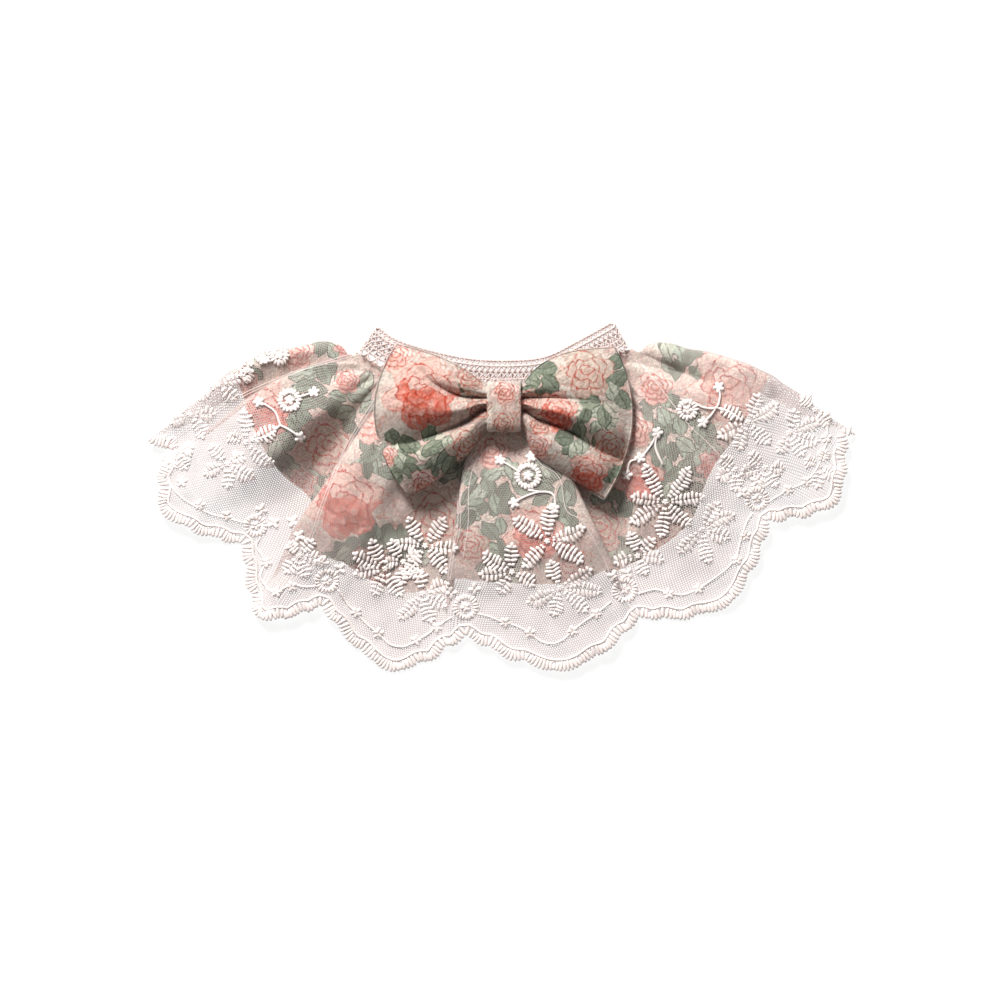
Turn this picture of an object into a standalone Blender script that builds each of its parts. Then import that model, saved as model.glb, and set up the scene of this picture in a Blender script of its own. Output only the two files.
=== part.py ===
"""A small pet's bib collar, laid flat on its back with its front up.

A crocheted neckband ring lies flattened, front half over back half. A floral ruffle
and a longer embroidered lace ruffle hang from the front half and fan out over the
floor in soft folds, and a floral bow is sewn to the middle of the band.
X runs to the collar's right as seen from above, Y towards the neck, Z up. The origin
is on the floor, in the middle of the collar's outline.
The tables and sizes below are in millimetres.
"""

import math

import bmesh
import bpy
import numpy as np
from mathutils.bvhtree import BVHTree

MM = 0.001
COLLECTION = "pet_lace_collar"

# Walls and clearances
SEAM_GAP = 0.3
FLORAL_WALL = 1.0
LACE_WALL = 1.1
HEM_WALL = 1.7  # the satin-stitched edge is thicker than the net
BAND_WALL = 1.1
KNOT_WALL = 1.4
RIM = 2.4  # two layers of cloth at the edge of a bow loop

# Neckband
FRONT_DROP = (2.4, 14.6)  # upper and lower edge of its front half, below BAND_EDGE
BACK_DROP = (0.0, 10.6)  # the back half lies higher, and shows above the front half
TUCK = 2.5  # how far the ruffles reach in under the band's front half
RUFFLE_INSET = 3.2  # how far the rolled sides stay away from the band's folds
SEAT_Z = 0.3
BAND_FRONT_Z = SEAT_Z + FLORAL_WALL + SEAM_GAP + LACE_WALL + SEAM_GAP
BAND_TOP_Z = BAND_FRONT_Z + BAND_WALL
BAND_STEPS = 30
FOLD_STEPS = 5

# The upper edge of the neckband's back half, from its left fold to its right fold
BAND_EDGE = (
    # x, y
    (-56.2, 76.9),
    (-47.6, 70.9),
    (-32.0, 65.8),
    (-14.0, 62.1),
    (4.0, 61.3),
    (20.0, 63.0),
    (35.0, 70.2),
    (51.0, 79.0),
)

# The lace hem, one row for each scallop: the notch where it starts, and its tip
SCALLOPS = (
    # notch x, notch y, tip x, tip y
    (-149.4, 22.4, -152.6, -7.0),
    (-116.2, -21.0, -108.9, -54.6),
    (-80.6, -48.2, -49.8, -78.4),
    (-16.2, -61.4, 27.6, -78.4),
    (61.7, -53.6, 103.0, -48.2),
    (120.3, -10.4, 151.0, -3.0),
)
LAST_NOTCH = (154.7, 28.0)

# The small lobes that make up one scallop, as shares of its width
LOBES = (
    # start, end
    (0.0, 0.13),
    (0.13, 0.30),
    (0.30, 0.70),
    (0.70, 0.87),
    (0.87, 1.0),
)
LOBE_DEPTH = 0.1
ARCH_POWER = 1.2
MIDDLE_LOBE_PARTS = 6
LEAST_STATION = 0.02
SIDE_LOBE_PARTS = 2

# The ruffles' folds from left to right. "hem" counts scallops along the hem, "band" is
# the share of the band's length where the fold starts, "height" is how high the cloth
# rides there, and "bulge" is how far the fold bows sideways, towards the next fold.
FOLDS = (
    # name, hem, band, height, bulge
    ("left roll", -0.10, 0.000, 9.0, -14.5),
    ("left tuck", 0.12, 0.008, 5.0, -10.0),
    ("second fold", 0.24, 0.014, 11.0, -7.5),
    ("left crest", 0.60, 0.045, 13.5, -3.0),
    ("left hollow", 1.24, 0.100, 0.0, 0.0),
    ("front left fold", 1.47, 0.135, 13.0, 2.0),
    ("front left panel", 2.10, 0.260, 6.5, 1.0),
    ("inner hollow", 2.72, 0.430, 1.0, 0.0),
    ("middle left fold", 2.90, 0.470, 9.5, -1.0),
    ("middle panel", 3.40, 0.510, 7.0, 0.0),
    ("middle right fold", 3.90, 0.560, 11.5, 1.0),
    ("right hollow", 4.14, 0.640, 0.0, 0.0),
    ("right panel", 4.55, 0.800, 8.5, 0.0),
    ("right fold", 4.93, 0.950, 10.5, 0.0),
    ("right tuck", 5.10, 0.970, 4.5, 1.0),
    ("right crest", 5.50, 0.985, 11.0, 4.0),
    ("right roll", 6.06, 1.000, 8.0, 8.0),
)
LEVEL = 0.6  # what dips below this height lies flat on the floor
BULGE_POWER = 0.85

# Rows of the ruffles, as shares of the way from the band to the hem
ROWS = (0.0, 0.045, 0.10, 0.18, 0.28, 0.38, 0.48, 0.58, 0.66, 0.74, 0.82, 0.90, 0.96, 1.0)
FLORAL_HEM = 0.74
LACE_DROP = 0.82  # from here on the lace lies where the floral cloth would
SCALLOP_START = 0.72
SCALLOP_POWER = 1.3
HEM_LIFT = 0.35  # share of a fold's height that is left at the hem
FALL_ROWS = (0.6, 1.0)  # where the folds get lower towards the hem
RISE_ROWS = (0.045, 0.42)  # where they rise from the seam at the band
SEAM_ROWS = (0.045, 0.10)  # where the cloth leaves the seam
SPREAD_ROWS = (0.0, 0.16)
GATHERS = 26
GATHER_HEIGHT = 0.9
GATHER_ROWS = (0.045, 0.12, 0.15, 0.4)  # where the gathers start, are full, and fade

# The ruffles' sides roll under
ROLL_STEPS = 6
ROLL_LEAST = 0.05  # radians turned at the neckband, where the roll lies flat
ROLL_SEAM = 1.4  # and its width there
ROLL_LONGEST = 40.0
ROLL_ROWS = (0.05, 0.3)
ROLL_CLEARANCE = 0.15
FLAP_WIDTH = 5.0
FLAP_LEAST = 0.4
FLAP_ROWS = (0.35, 0.5, 0.8, 1.0)

# Knot of the bow: a band of cloth around the pinched loops
KNOT_X = (-6.3, 9.0)
KNOT_Y = (28.2, 52.0)
KNOT_Z = (BAND_TOP_Z + SEAM_GAP, 17.6)
KNOT_SECTION_STEPS = 28
KNOT_STEPS = 6
KNOT_POWER = 3.2

# Bow loops, one row for each section from the knot outwards. "low" and "high" are the
# ends of a section, and "top" is the height of its middle above the floor.
# Each crease has its place across the section and its depth.
RIGHT_LOOP = (
    # low x, low y, high x, high y, low z, high z, top, crease a, depth a, crease b, depth b
    (1.6, 30.6, 1.6, 49.6, 10.2, 10.2, 15.4, 0.70, 2.0, 0.40, 2.0),
    (9.2, 30.2, 9.2, 50.0, 10.2, 10.2, 15.4, 0.70, 4.0, 0.40, 4.0),
    (15.3, 18.5, 15.3, 56.3, 10.0, 10.0, 20.0, 0.68, 6.0, 0.41, 6.5),
    (26.6, 10.4, 24.3, 62.3, 10.0, 9.0, 22.0, 0.64, 3.5, 0.37, 7.0),
    (37.8, 4.1, 36.5, 65.5, 9.5, 8.0, 21.0, 0.62, 1.0, 0.28, 6.0),
    (46.2, -1.4, 50.9, 66.6, 9.0, 8.0, 14.0, 0.61, 0.0, 0.25, 3.5),
)
LEFT_LOOP = (
    # low x, low y, high x, high y, low z, high z, top, crease a, depth a, crease b, depth b
    (1.1, 30.6, 1.1, 49.6, 10.2, 10.2, 15.4, 0.70, 2.0, 0.42, 2.0),
    (-6.5, 30.2, -6.5, 50.0, 10.2, 10.2, 15.4, 0.70, 4.0, 0.42, 4.0),
    (-14.0, 19.8, -14.9, 55.4, 10.0, 10.0, 20.0, 0.70, 6.0, 0.37, 6.5),
    (-23.9, 11.7, -25.2, 61.2, 10.0, 9.0, 22.0, 0.76, 4.0, 0.33, 7.0),
    (-33.3, 4.1, -35.6, 65.0, 9.5, 8.0, 22.0, 0.88, 1.0, 0.32, 6.0),
    (-41.9, 0.5, -46.8, 68.0, 9.0, 8.0, 14.0, 0.90, 0.0, 0.32, 3.5),
)
LOOP_BULGE = (10.0, -12.0)  # right, left: how far the outer edge bows out
LOOP_LENGTH_STEPS = 13
LOOP_WIDTH_STEPS = 18
LOOP_ROUND = 2.6
LOOP_POWER = 0.6
CREASE_WIDTH = 0.055
RIM_GROOVE = 0.9
LOOP_CLEARANCE = 0.7
FEEL_RADIUS = 3.5
PINCH = (0.22, 0.42)  # shares of a loop's length over which it leaves the knot

COLOURS = {
    # base colour, roughness, alpha
    "crochet": ((0.84, 0.79, 0.76), 0.9, 1.0),
    "floral cotton": ((0.78, 0.56, 0.48), 0.85, 1.0),
    "embroidered net": ((0.88, 0.80, 0.77), 0.8, 0.6),
}


def clear_scene():
    for item in list(bpy.data.objects):
        bpy.data.objects.remove(item, do_unlink=True)


def smooth(low, high, x):
    """0 below low, 1 above high, and an even S between them."""
    s = np.clip((np.asarray(x, float) - low) / (high - low), 0.0, 1.0)
    return s * s * (3.0 - 2.0 * s)


def steady(xs, ys, at):
    """A curve through the points that never overshoots them."""
    xs, ys, at = (np.asarray(v, float) for v in (xs, ys, at))
    step = np.diff(xs)
    slope = np.diff(ys) / step
    tangent = np.zeros_like(ys)
    tangent[0], tangent[-1] = slope[0], slope[-1]
    same_way = slope[:-1] * slope[1:] > 0
    before, after = slope[:-1][same_way], slope[1:][same_way]
    tangent[1:-1][same_way] = 2.0 * before * after / (before + after)
    i = np.clip(np.searchsorted(xs, at, side="right") - 1, 0, len(xs) - 2)
    s = (at - xs[i]) / step[i]
    bend = (1 - s) * tangent[i] * step[i] - s * tangent[i + 1] * step[i]
    twist = (1 - 2 * s) * (ys[i + 1] - ys[i])
    return ys[i] + s * (ys[i + 1] - ys[i]) + s * (1 - s) * (bend - twist)


def spline(points, at):
    """A Catmull-Rom curve through the points, one for each whole number of at."""
    points = np.asarray(points, float)
    ends = (2 * points[0] - points[1], 2 * points[-1] - points[-2])
    held = np.vstack([ends[0], points, ends[1]])
    at = np.asarray(at, float)
    i = np.clip(np.floor(at).astype(int), 0, len(points) - 2)
    s = (at - i)[..., None]
    a, b, c, d = held[i], held[i + 1], held[i + 2], held[i + 3]
    return b + 0.5 * s * (
        c - a + s * (2 * a - 5 * b + 4 * c - d + s * (3 * (b - c) + d - a))
    )


def band_points(share, down):
    """Points of the neckband at a share of its length, this far below its upper edge."""
    fine = spline(BAND_EDGE, np.linspace(0, len(BAND_EDGE) - 1, 400))
    run = np.concatenate([[0], np.cumsum(np.linalg.norm(np.diff(fine, axis=0), axis=1))])
    along = np.gradient(fine, axis=0)
    along /= np.linalg.norm(along, axis=1, keepdims=True)
    place = np.asarray(share) * run[-1]
    x, y, dx, dy = (
        np.interp(place, run, column)
        for column in (fine[:, 0], fine[:, 1], along[:, 0], along[:, 1])
    )
    return np.stack([x + dy * down, y - dx * down], -1)


def band_length():
    fine = spline(BAND_EDGE, np.linspace(0, len(BAND_EDGE) - 1, 400))
    return float(np.linalg.norm(np.diff(fine, axis=0), axis=1).sum())


def ruffle_end():
    """Share of the band's length that the ruffles leave free at each end."""
    fold = (BAND_FRONT_Z + BAND_WALL) / 2
    return (fold + SEAM_GAP + ROLL_SEAM + RUFFLE_INSET) / band_length()


def fold_column(column, hem):
    """One column of FOLDS, read smoothly at these places along the hem."""
    return steady([row[1] for row in FOLDS], [row[column] for row in FOLDS], hem)


def scallop(x):
    """How far a scallop reaches out, 0 to 1, at a share of its width."""
    reach = (1 - LOBE_DEPTH) * np.sin(np.pi * np.clip(x, 0, 1)) ** ARCH_POWER
    for start, end in LOBES:
        inside = (x >= start) & (x < end)
        reach = reach + LOBE_DEPTH * inside * np.sin(np.pi * (x - start) / (end - start))
    return reach


def ruffle_plan(hem, row):
    """Where the cloth lies in plan; hem and row are arrays of one shape."""
    notches = [entry[:2] for entry in SCALLOPS] + [LAST_NOTCH]
    tips = np.array([entry[2:] for entry in SCALLOPS])
    end = ruffle_end()
    inner = band_points(end + fold_column(2, hem) * (1 - 2 * end), FRONT_DROP[1] - TUCK)
    base = spline(notches, hem)
    chord = base - inner
    side = np.stack([-chord[..., 1], chord[..., 0]], -1)
    side /= np.linalg.norm(side, axis=-1, keepdims=True)
    bow = fold_column(4, hem) * np.sin(np.pi * row**BULGE_POWER)
    bow = bow * smooth(*SPREAD_ROWS, row)
    number = np.clip(np.floor(hem).astype(int), 0, len(SCALLOPS) - 1)
    reach = tips - spline(notches, np.arange(len(SCALLOPS)) + 0.5)
    edge = np.clip((row - SCALLOP_START) / (1 - SCALLOP_START), 0, 1) ** SCALLOP_POWER
    out = reach[number] * (scallop(hem - np.floor(hem)) * edge)[..., None]
    return inner + chord * row[..., None] + side * bow[..., None] + out


def ruffle_height(hem, row):
    """Height of the floral cloth's underside above the floor."""
    fall = 1 - (1 - HEM_LIFT) * smooth(*FALL_ROWS, row)
    fold = fold_column(3, hem) * fall * smooth(*RISE_ROWS, row)
    gather = GATHER_HEIGHT * np.sin(2 * np.pi * GATHERS * fold_column(2, hem))
    gather = gather * smooth(*GATHER_ROWS[:2], row) * (1 - smooth(*GATHER_ROWS[2:], row))
    free = smooth(*SEAM_ROWS, row)
    return SEAT_Z * (1 - free) + np.maximum(fold + gather - LEVEL, 0) * free


def over_floral(row):
    """How far the lace lies above the underside of the floral cloth."""
    return (FLORAL_WALL + SEAM_GAP) * (1 - smooth(FLORAL_HEM, LACE_DROP, row))


def lace_wall(row):
    return np.where(row >= ROWS[-2], HEM_WALL, LACE_WALL)


def roll(edge, next_to, rows):
    """The side of the ruffles, turned under: columns that follow on from edge."""
    inward = next_to[:, :2] - edge[:, :2]
    along = np.gradient(edge[:, :2], axis=0)
    along /= np.linalg.norm(along, axis=1, keepdims=True)
    inward -= along * (inward * along).sum(1, keepdims=True)
    inward /= np.linalg.norm(inward, axis=1, keepdims=True)
    turn = np.maximum(np.pi * smooth(*RISE_ROWS, rows), ROLL_LEAST)
    thick = over_floral(rows) + lace_wall(rows) + ROLL_CLEARANCE
    drop = edge[:, 2] - FLAP_LEAST * np.sin(turn) - thick * np.maximum(-np.cos(turn), 0)
    longest = ROLL_SEAM + ROLL_LONGEST * smooth(*ROLL_ROWS, rows)
    radius = np.minimum(np.maximum(drop, ROLL_LEAST) / (1 - np.cos(turn)), longest / turn)
    flap = FLAP_WIDTH * smooth(*FLAP_ROWS[:2], rows) * (1 - smooth(*FLAP_ROWS[2:], rows))
    flap += FLAP_LEAST
    columns = []
    for step in range(1, ROLL_STEPS + 1):
        angle = turn * step / ROLL_STEPS
        plan = edge[:, :2] - inward * (radius * np.sin(angle))[:, None]
        rise = edge[:, 2] - radius + radius * np.cos(angle)
        columns.append(np.column_stack([plan, rise]))
    last = columns[-1]
    plan = last[:, :2] - inward * (flap * np.cos(turn))[:, None]
    columns.append(np.column_stack([plan, last[:, 2] - flap * np.sin(turn)]))
    for column in columns:
        column[:, 2] = np.maximum(column[:, 2], 0)
    return columns


def hem_stations():
    """Places along the hem where a column of the ruffles stands."""
    within = []
    for start, end in LOBES:
        parts = MIDDLE_LOBE_PARTS if start < 0.5 < end else SIDE_LOBE_PARTS
        within += [start + (end - start) * k / parts for k in range(parts)]
    first, last = FOLDS[0][1], FOLDS[-1][1]
    places = [n + x for n in range(-1, len(SCALLOPS) + 1) for x in within]
    inside = [p for p in places if first + LEAST_STATION < p < last - LEAST_STATION]
    return np.array([first] + inside + [last])


def ruffle_surface():
    """Underside of the floral cloth, carried on to the lace hem, as a grid of points."""
    hem, row = np.meshgrid(hem_stations(), np.array(ROWS), indexing="ij")
    grid = np.dstack([ruffle_plan(hem, row), ruffle_height(hem, row)])
    rows = np.array(ROWS)
    left = roll(grid[0], grid[1], rows)
    right = roll(grid[-1], grid[-2], rows)
    return np.array(left[::-1] + list(grid) + right)


def grid_normals(grid):
    across, down = np.gradient(grid, axis=0), np.gradient(grid, axis=1)
    normal = np.cross(down, across)
    return normal / np.linalg.norm(normal, axis=2, keepdims=True)


def grid_faces(columns, rows, closed=False):
    """Quads over a grid of points, column after column."""
    last = columns if closed else columns - 1
    faces = []
    for i in range(last):
        j = (i + 1) % columns
        for k in range(rows - 1):
            faces.append((i * rows + k, i * rows + k + 1, j * rows + k + 1, j * rows + k))
    return faces


def add_object(name, points, faces, material):
    mesh = bpy.data.meshes.new(name)
    mesh.from_pydata((np.asarray(points).reshape(-1, 3) * MM).tolist(), [], faces)
    mesh.shade_smooth()
    mesh.materials.append(material)
    item = bpy.data.objects.new(name, mesh)
    bpy.data.collections[COLLECTION].objects.link(item)
    return item


def thicken(item, wall, offset, share=None):
    """Solidify an open sheet; share holds each point's part of the wall."""
    solidify = item.modifiers.new("wall", "SOLIDIFY")
    solidify.thickness = wall * MM
    solidify.offset = offset
    if share is not None:
        group = item.vertex_groups.new(name="wall")
        for index, part in enumerate(share):
            group.add([index], float(part), "REPLACE")
        solidify.vertex_group = group.name


def make_floral_ruffle(surface, material):
    rows = ROWS.index(FLORAL_HEM) + 1
    grid = surface[:, :rows]
    item = add_object("floral_ruffle", grid, grid_faces(len(grid), rows), material)
    thicken(item, FLORAL_WALL, 1.0)


def make_lace_ruffle(surface, material):
    rows = np.array(ROWS)
    lift = over_floral(rows)[None, :, None]
    grid = surface + grid_normals(surface) * lift
    item = add_object("lace_ruffle", grid, grid_faces(*grid.shape[:2]), material)
    thicken(item, HEM_WALL, 1.0, np.tile(lace_wall(rows) / HEM_WALL, len(grid)))
    return item


def make_neckband(material):
    """The crocheted ring, flattened: front layer, fold, back layer, fold."""
    radius = BAND_FRONT_Z / 2
    middle = BAND_WALL / 2 + radius
    length = band_length()
    end = (radius + BAND_WALL / 2) / length
    stations = [(share, 0.0) for share in np.linspace(end, 1 - end, BAND_STEPS)]
    stations += [(1 - end, k / FOLD_STEPS) for k in range(1, FOLD_STEPS)]
    stations += [(share, 1.0) for share in np.linspace(1 - end, end, BAND_STEPS)]
    stations += [(end, 1 - k / FOLD_STEPS) for k in range(1, FOLD_STEPS)]
    columns = []
    for share, turned in stations:
        angle = math.pi * turned
        outwards = math.copysign(radius * math.sin(angle) / length, share - 0.5)
        place = share + outwards
        upper = FRONT_DROP[0] + (BACK_DROP[0] - FRONT_DROP[0]) * turned
        lower = FRONT_DROP[1] + (BACK_DROP[1] - FRONT_DROP[1]) * turned
        plan = [band_points(place, drop) for drop in (upper, (upper + lower) / 2, lower)]
        height = middle + radius * math.cos(angle)
        columns.append([(*point, height) for point in plan])
    item = add_object("neckband", columns, grid_faces(len(columns), 3, True), material)
    thicken(item, BAND_WALL, 0.0)


def make_bow_knot(material):
    """The band around the middle of the bow, open towards both loops."""
    middle_y, middle_z = sum(KNOT_Y) / 2, sum(KNOT_Z) / 2
    half_y = (KNOT_Y[1] - KNOT_Y[0] - KNOT_WALL) / 2
    half_z = (KNOT_Z[1] - KNOT_Z[0] - KNOT_WALL) / 2
    columns = []
    for step in range(KNOT_SECTION_STEPS):
        angle = 2 * np.pi * step / KNOT_SECTION_STEPS
        c, s = np.cos(angle), np.sin(angle)
        y = middle_y + half_y * np.sign(c) * abs(c) ** (2 / KNOT_POWER)
        z = middle_z + half_z * np.sign(s) * abs(s) ** (2 / KNOT_POWER)
        columns.append(
            [(x, y, z) for x in np.linspace(KNOT_X[0], KNOT_X[1], KNOT_STEPS)]
        )
    faces = grid_faces(len(columns), KNOT_STEPS, closed=True)
    item = add_object("bow_knot", columns, faces, material)
    thicken(item, KNOT_WALL, 0.0)


def floor_under(tree, x, y):
    """Height of what lies under a point, felt over a small round patch."""
    highest = BAND_TOP_Z
    for ring in (0.0, FEEL_RADIUS / 2, FEEL_RADIUS):
        for turn in range(8):
            angle = turn * math.pi / 4
            start = (
                (x + ring * math.cos(angle)) * MM,
                (y + ring * math.sin(angle)) * MM,
                1.0,
            )
            hit = tree.ray_cast(start, (0, 0, -1))[0]
            if hit is not None:
                highest = max(highest, hit.z / MM)
    return highest


def make_bow_loop(name, table, bulge, tree, material):
    """A loop of the bow: folded cloth, puffed between its creases, layered at its edge."""
    table = np.array(table)
    places = np.linspace(0, 1, len(table))
    sections = steady_rows(places, table, LOOP_LENGTH_STEPS)
    top, under = [], []
    across = np.linspace(0, 1, LOOP_WIDTH_STEPS + 1)
    for step, row in enumerate(sections):
        out = step / LOOP_LENGTH_STEPS
        low, high = row[0:2], row[2:4]
        plan = low + (high - low) * across[:, None]
        plan[:, 0] += bulge * out**2 * 4 * across * (1 - across)
        rim = row[4] + (row[5] - row[4]) * across
        round_off = (1 - np.abs(2 * across - 1) ** LOOP_ROUND) ** LOOP_POWER
        crown = (row[6] - rim) * round_off
        for place, depth in ((row[7], row[8]), (row[9], row[10])):
            crown -= depth * np.exp(-(((across - place) / CREASE_WIDTH) ** 2)) * round_off
        felt = np.array([floor_under(tree, x, y) for x, y in plan]) + LOOP_CLEARANCE
        pinched = (KNOT_Z[0] + KNOT_WALL + SEAM_GAP) * (1 - smooth(*PINCH, out))
        base = np.maximum(felt, pinched)
        rounded = np.maximum(rim - RIM / 2 - base, 0) * (1 - round_off)
        base = base + rounded * (1 - smooth(*PINCH, out) / 2)
        height = np.maximum(rim + crown, base + RIM)
        top.append(np.column_stack([plan, height]))
        under.append(np.column_stack([plan, base]))
    add_pillow(name, np.array(top), np.array(under), material)


def steady_rows(places, table, steps):
    """The table read smoothly at even steps along the loop, one row for each step."""
    at = np.linspace(0, 1, steps + 1)
    return np.column_stack([steady(places, column, at) for column in table.T])


def add_pillow(name, top, under, material):
    """A closed solid from two grids, with a groove between the layers at its edge."""
    columns, rows = top.shape[:2]
    count = columns * rows
    edge = [(i, 0) for i in range(columns)]
    edge += [(columns - 1, k) for k in range(1, rows)]
    edge += [(i, rows - 1) for i in range(columns - 2, -1, -1)]
    edge += [(0, k) for k in range(rows - 2, 0, -1)]
    centre = top[:, :, :2].reshape(-1, 2).mean(0)
    groove = []
    for i, k in edge:
        middle = (top[i, k] + under[i, k]) / 2
        inward = centre - middle[:2]
        inward *= RIM_GROOVE / np.linalg.norm(inward)
        groove.append([middle[0] + inward[0], middle[1] + inward[1], middle[2]])
    flat = grid_faces(columns, rows)
    faces = [tuple(reversed(face)) for face in flat]
    faces += [tuple(index + count for index in face) for face in flat]
    for n, (i, k) in enumerate(edge):
        following = (n + 1) % len(edge)
        i_next, k_next = edge[following]
        above, above_next = i * rows + k, i_next * rows + k_next
        mid, mid_next = 2 * count + n, 2 * count + following
        faces.append((above, above_next, mid_next, mid))
        faces.append((mid, mid_next, above_next + count, above + count))
    points = np.vstack([top.reshape(-1, 3), under.reshape(-1, 3), groove])
    item = add_object(name, points, faces, material)
    solid = bmesh.new()
    solid.from_mesh(item.data)
    bmesh.ops.recalc_face_normals(solid, faces=solid.faces)
    solid.to_mesh(item.data)
    solid.free()


def make_material(name):
    colour, roughness, alpha = COLOURS[name]
    material = bpy.data.materials.new(name)
    material.use_nodes = True
    shader = material.node_tree.nodes["Principled BSDF"]
    shader.inputs["Base Color"].default_value = (*colour, 1.0)
    shader.inputs["Roughness"].default_value = roughness
    shader.inputs["Metallic"].default_value = 0.0
    shader.inputs["Alpha"].default_value = alpha
    return material


def main():
    clear_scene()
    collection = bpy.data.collections.new(COLLECTION)
    bpy.context.scene.collection.children.link(collection)
    crochet = make_material("crochet")
    floral = make_material("floral cotton")
    net = make_material("embroidered net")
    surface = ruffle_surface()
    make_floral_ruffle(surface, floral)
    lace = make_lace_ruffle(surface, net)
    make_neckband(crochet)
    make_bow_knot(floral)
    bpy.context.view_layer.update()
    tree = BVHTree.FromObject(lace, bpy.context.evaluated_depsgraph_get())
    make_bow_loop("bow_loop_right", RIGHT_LOOP, LOOP_BULGE[0], tree, floral)
    make_bow_loop("bow_loop_left", LEFT_LOOP, LOOP_BULGE[1], tree, floral)


main()
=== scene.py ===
"""Looks of the pet lace collar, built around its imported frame.

Lengths are millimetres in the collar's frame, and add_mesh turns them into metres. Tables
that place things as the photograph shows them use its plan view's grid, 0.45 mm a step,
and on_plan() turns that into millimetres.
"""

import math
import random

import bpy
import numpy as np
from mathutils.bvhtree import BVHTree
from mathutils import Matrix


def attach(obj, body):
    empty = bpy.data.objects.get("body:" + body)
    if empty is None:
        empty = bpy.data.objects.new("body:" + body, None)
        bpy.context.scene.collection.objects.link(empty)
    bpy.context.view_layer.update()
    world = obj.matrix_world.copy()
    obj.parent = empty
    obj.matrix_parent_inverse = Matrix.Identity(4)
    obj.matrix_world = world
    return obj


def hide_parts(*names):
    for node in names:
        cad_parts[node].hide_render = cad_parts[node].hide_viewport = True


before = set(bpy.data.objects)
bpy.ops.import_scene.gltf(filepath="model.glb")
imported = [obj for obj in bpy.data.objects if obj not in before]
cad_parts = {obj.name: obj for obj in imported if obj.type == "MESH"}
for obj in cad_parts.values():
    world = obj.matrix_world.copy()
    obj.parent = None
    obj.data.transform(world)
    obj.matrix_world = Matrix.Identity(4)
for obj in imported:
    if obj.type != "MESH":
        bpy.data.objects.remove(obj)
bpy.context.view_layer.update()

MM = 0.001
GRID = 0.45  # mm
GRID_CENTRE = (501.0, 496.0)
UP = np.array([0.0, 0.0, 1.0])

# The ruffles' walls in the frame, which the sheets here follow
SEAM_GAP = 0.3
FLORAL_WALL = 1.0
LACE_WALL = 1.1
BAND_WALL = 1.1
KNOT_WALL = 1.4
SEAT_Z = 0.3
BAND_FRONT_Z = SEAT_Z + FLORAL_WALL + SEAM_GAP + LACE_WALL + SEAM_GAP
BAND_TOP_Z = BAND_FRONT_Z + BAND_WALL
RING_RADIUS = BAND_FRONT_Z / 2  # of the neckband's fold at each side
FRONT_DROP = (2.4, 14.6)
BACK_DROP = (0.0, 10.6)
TUCK = 2.5
RUFFLE_INSET = 3.2

FLORAL_TOP = 0.95  # height of the printed cloth's face above the ruffles' surface
LACE_TOP = 1.4  # of the net over the printed cloth
LACE_LOW = 0.6  # of the net beyond it
LACE_FALL = 0.07  # share of the way to the hem in which the net comes down
FLORAL_FLOOR = 0.1  # least height of each sheet above the floor
LACE_FLOOR = 0.2

BAND_EDGE = (
    # x, y
    (-56.2, 76.9),
    (-47.6, 70.9),
    (-32.0, 65.8),
    (-14.0, 62.1),
    (4.0, 61.3),
    (20.0, 63.0),
    (35.0, 70.2),
    (51.0, 79.0),
)
SCALLOPS = (
    # notch x, notch y, tip x, tip y
    (-149.4, 22.4, -152.6, -7.0),
    (-116.2, -21.0, -108.9, -54.6),
    (-80.6, -48.2, -49.8, -78.4),
    (-16.2, -61.4, 27.6, -78.4),
    (61.7, -53.6, 103.0, -48.2),
    (120.3, -10.4, 151.0, -3.0),
)
LAST_NOTCH = (154.7, 28.0)
LOBES = ((0.0, 0.13), (0.13, 0.30), (0.30, 0.70), (0.70, 0.87), (0.87, 1.0))
LOBE_DEPTH = 0.13
ARCH_POWER = 1.2

# The folds of both ruffles. "lean" tips a fold over its neighbour in mm, and "cloth" is
# the row where the printed cloth ends, as a share of the way from the band to the lace hem.
FOLDS = (
    # name, hem, band, height, bulge, lean, cloth
    ("left roll", -0.10, 0.000, 9.0, -14.5, 0.0, 0.60),
    ("left tuck", 0.08, 0.006, 4.5, -10.5, 3.5, 0.61),
    ("second fold", 0.20, 0.012, 11.5, -8.0, -3.5, 0.62),
    ("left crest", 0.58, 0.045, 13.5, -3.0, 0.0, 0.66),
    ("left drop", 0.86, 0.070, 5.5, -1.0, -1.0, 0.67),
    ("left hollow", 1.14, 0.095, 0.3, 0.0, 0.0, 0.66),
    ("left tucked", 1.37, 0.118, 0.8, 1.0, 6.0, 0.72),
    ("front left edge", 1.45, 0.130, 10.5, 2.0, -4.0, 0.78),
    ("front left fold", 1.62, 0.150, 13.0, 2.0, -1.0, 0.80),
    ("front left panel", 2.02, 0.240, 10.5, 1.0, 0.0, 0.81),
    ("front left drop", 2.30, 0.300, 4.0, 0.5, 0.0, 0.82),
    ("inner hollow", 2.50, 0.380, 0.6, 0.0, 0.0, 0.82),
    ("middle tucked", 2.81, 0.450, 0.8, 0.0, 4.0, 0.79),
    ("middle left edge", 2.90, 0.470, 9.0, -1.0, -3.0, 0.78),
    ("middle panel", 3.35, 0.510, 8.0, 0.0, 0.0, 0.78),
    ("middle right fold", 3.76, 0.545, 11.0, 1.0, 1.0, 0.79),
    ("middle right edge", 3.92, 0.565, 10.0, 1.0, 4.0, 0.79),
    ("right tucked", 4.02, 0.595, 0.8, 0.0, -5.0, 0.80),
    ("right hollow", 4.22, 0.660, 0.3, 0.0, 0.0, 0.79),
    ("right panel", 4.60, 0.800, 9.0, 0.0, 0.0, 0.77),
    ("right fold", 4.90, 0.940, 11.0, 0.0, 1.0, 0.68),
    ("right tuck", 5.02, 0.965, 9.0, 1.0, -0.5, 0.66),
    ("right crest", 5.42, 0.978, 11.0, 3.5, 0.0, 0.64),
    ("right roll", 6.06, 1.000, 9.0, 9.5, 0.0, 0.62),
)
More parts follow.
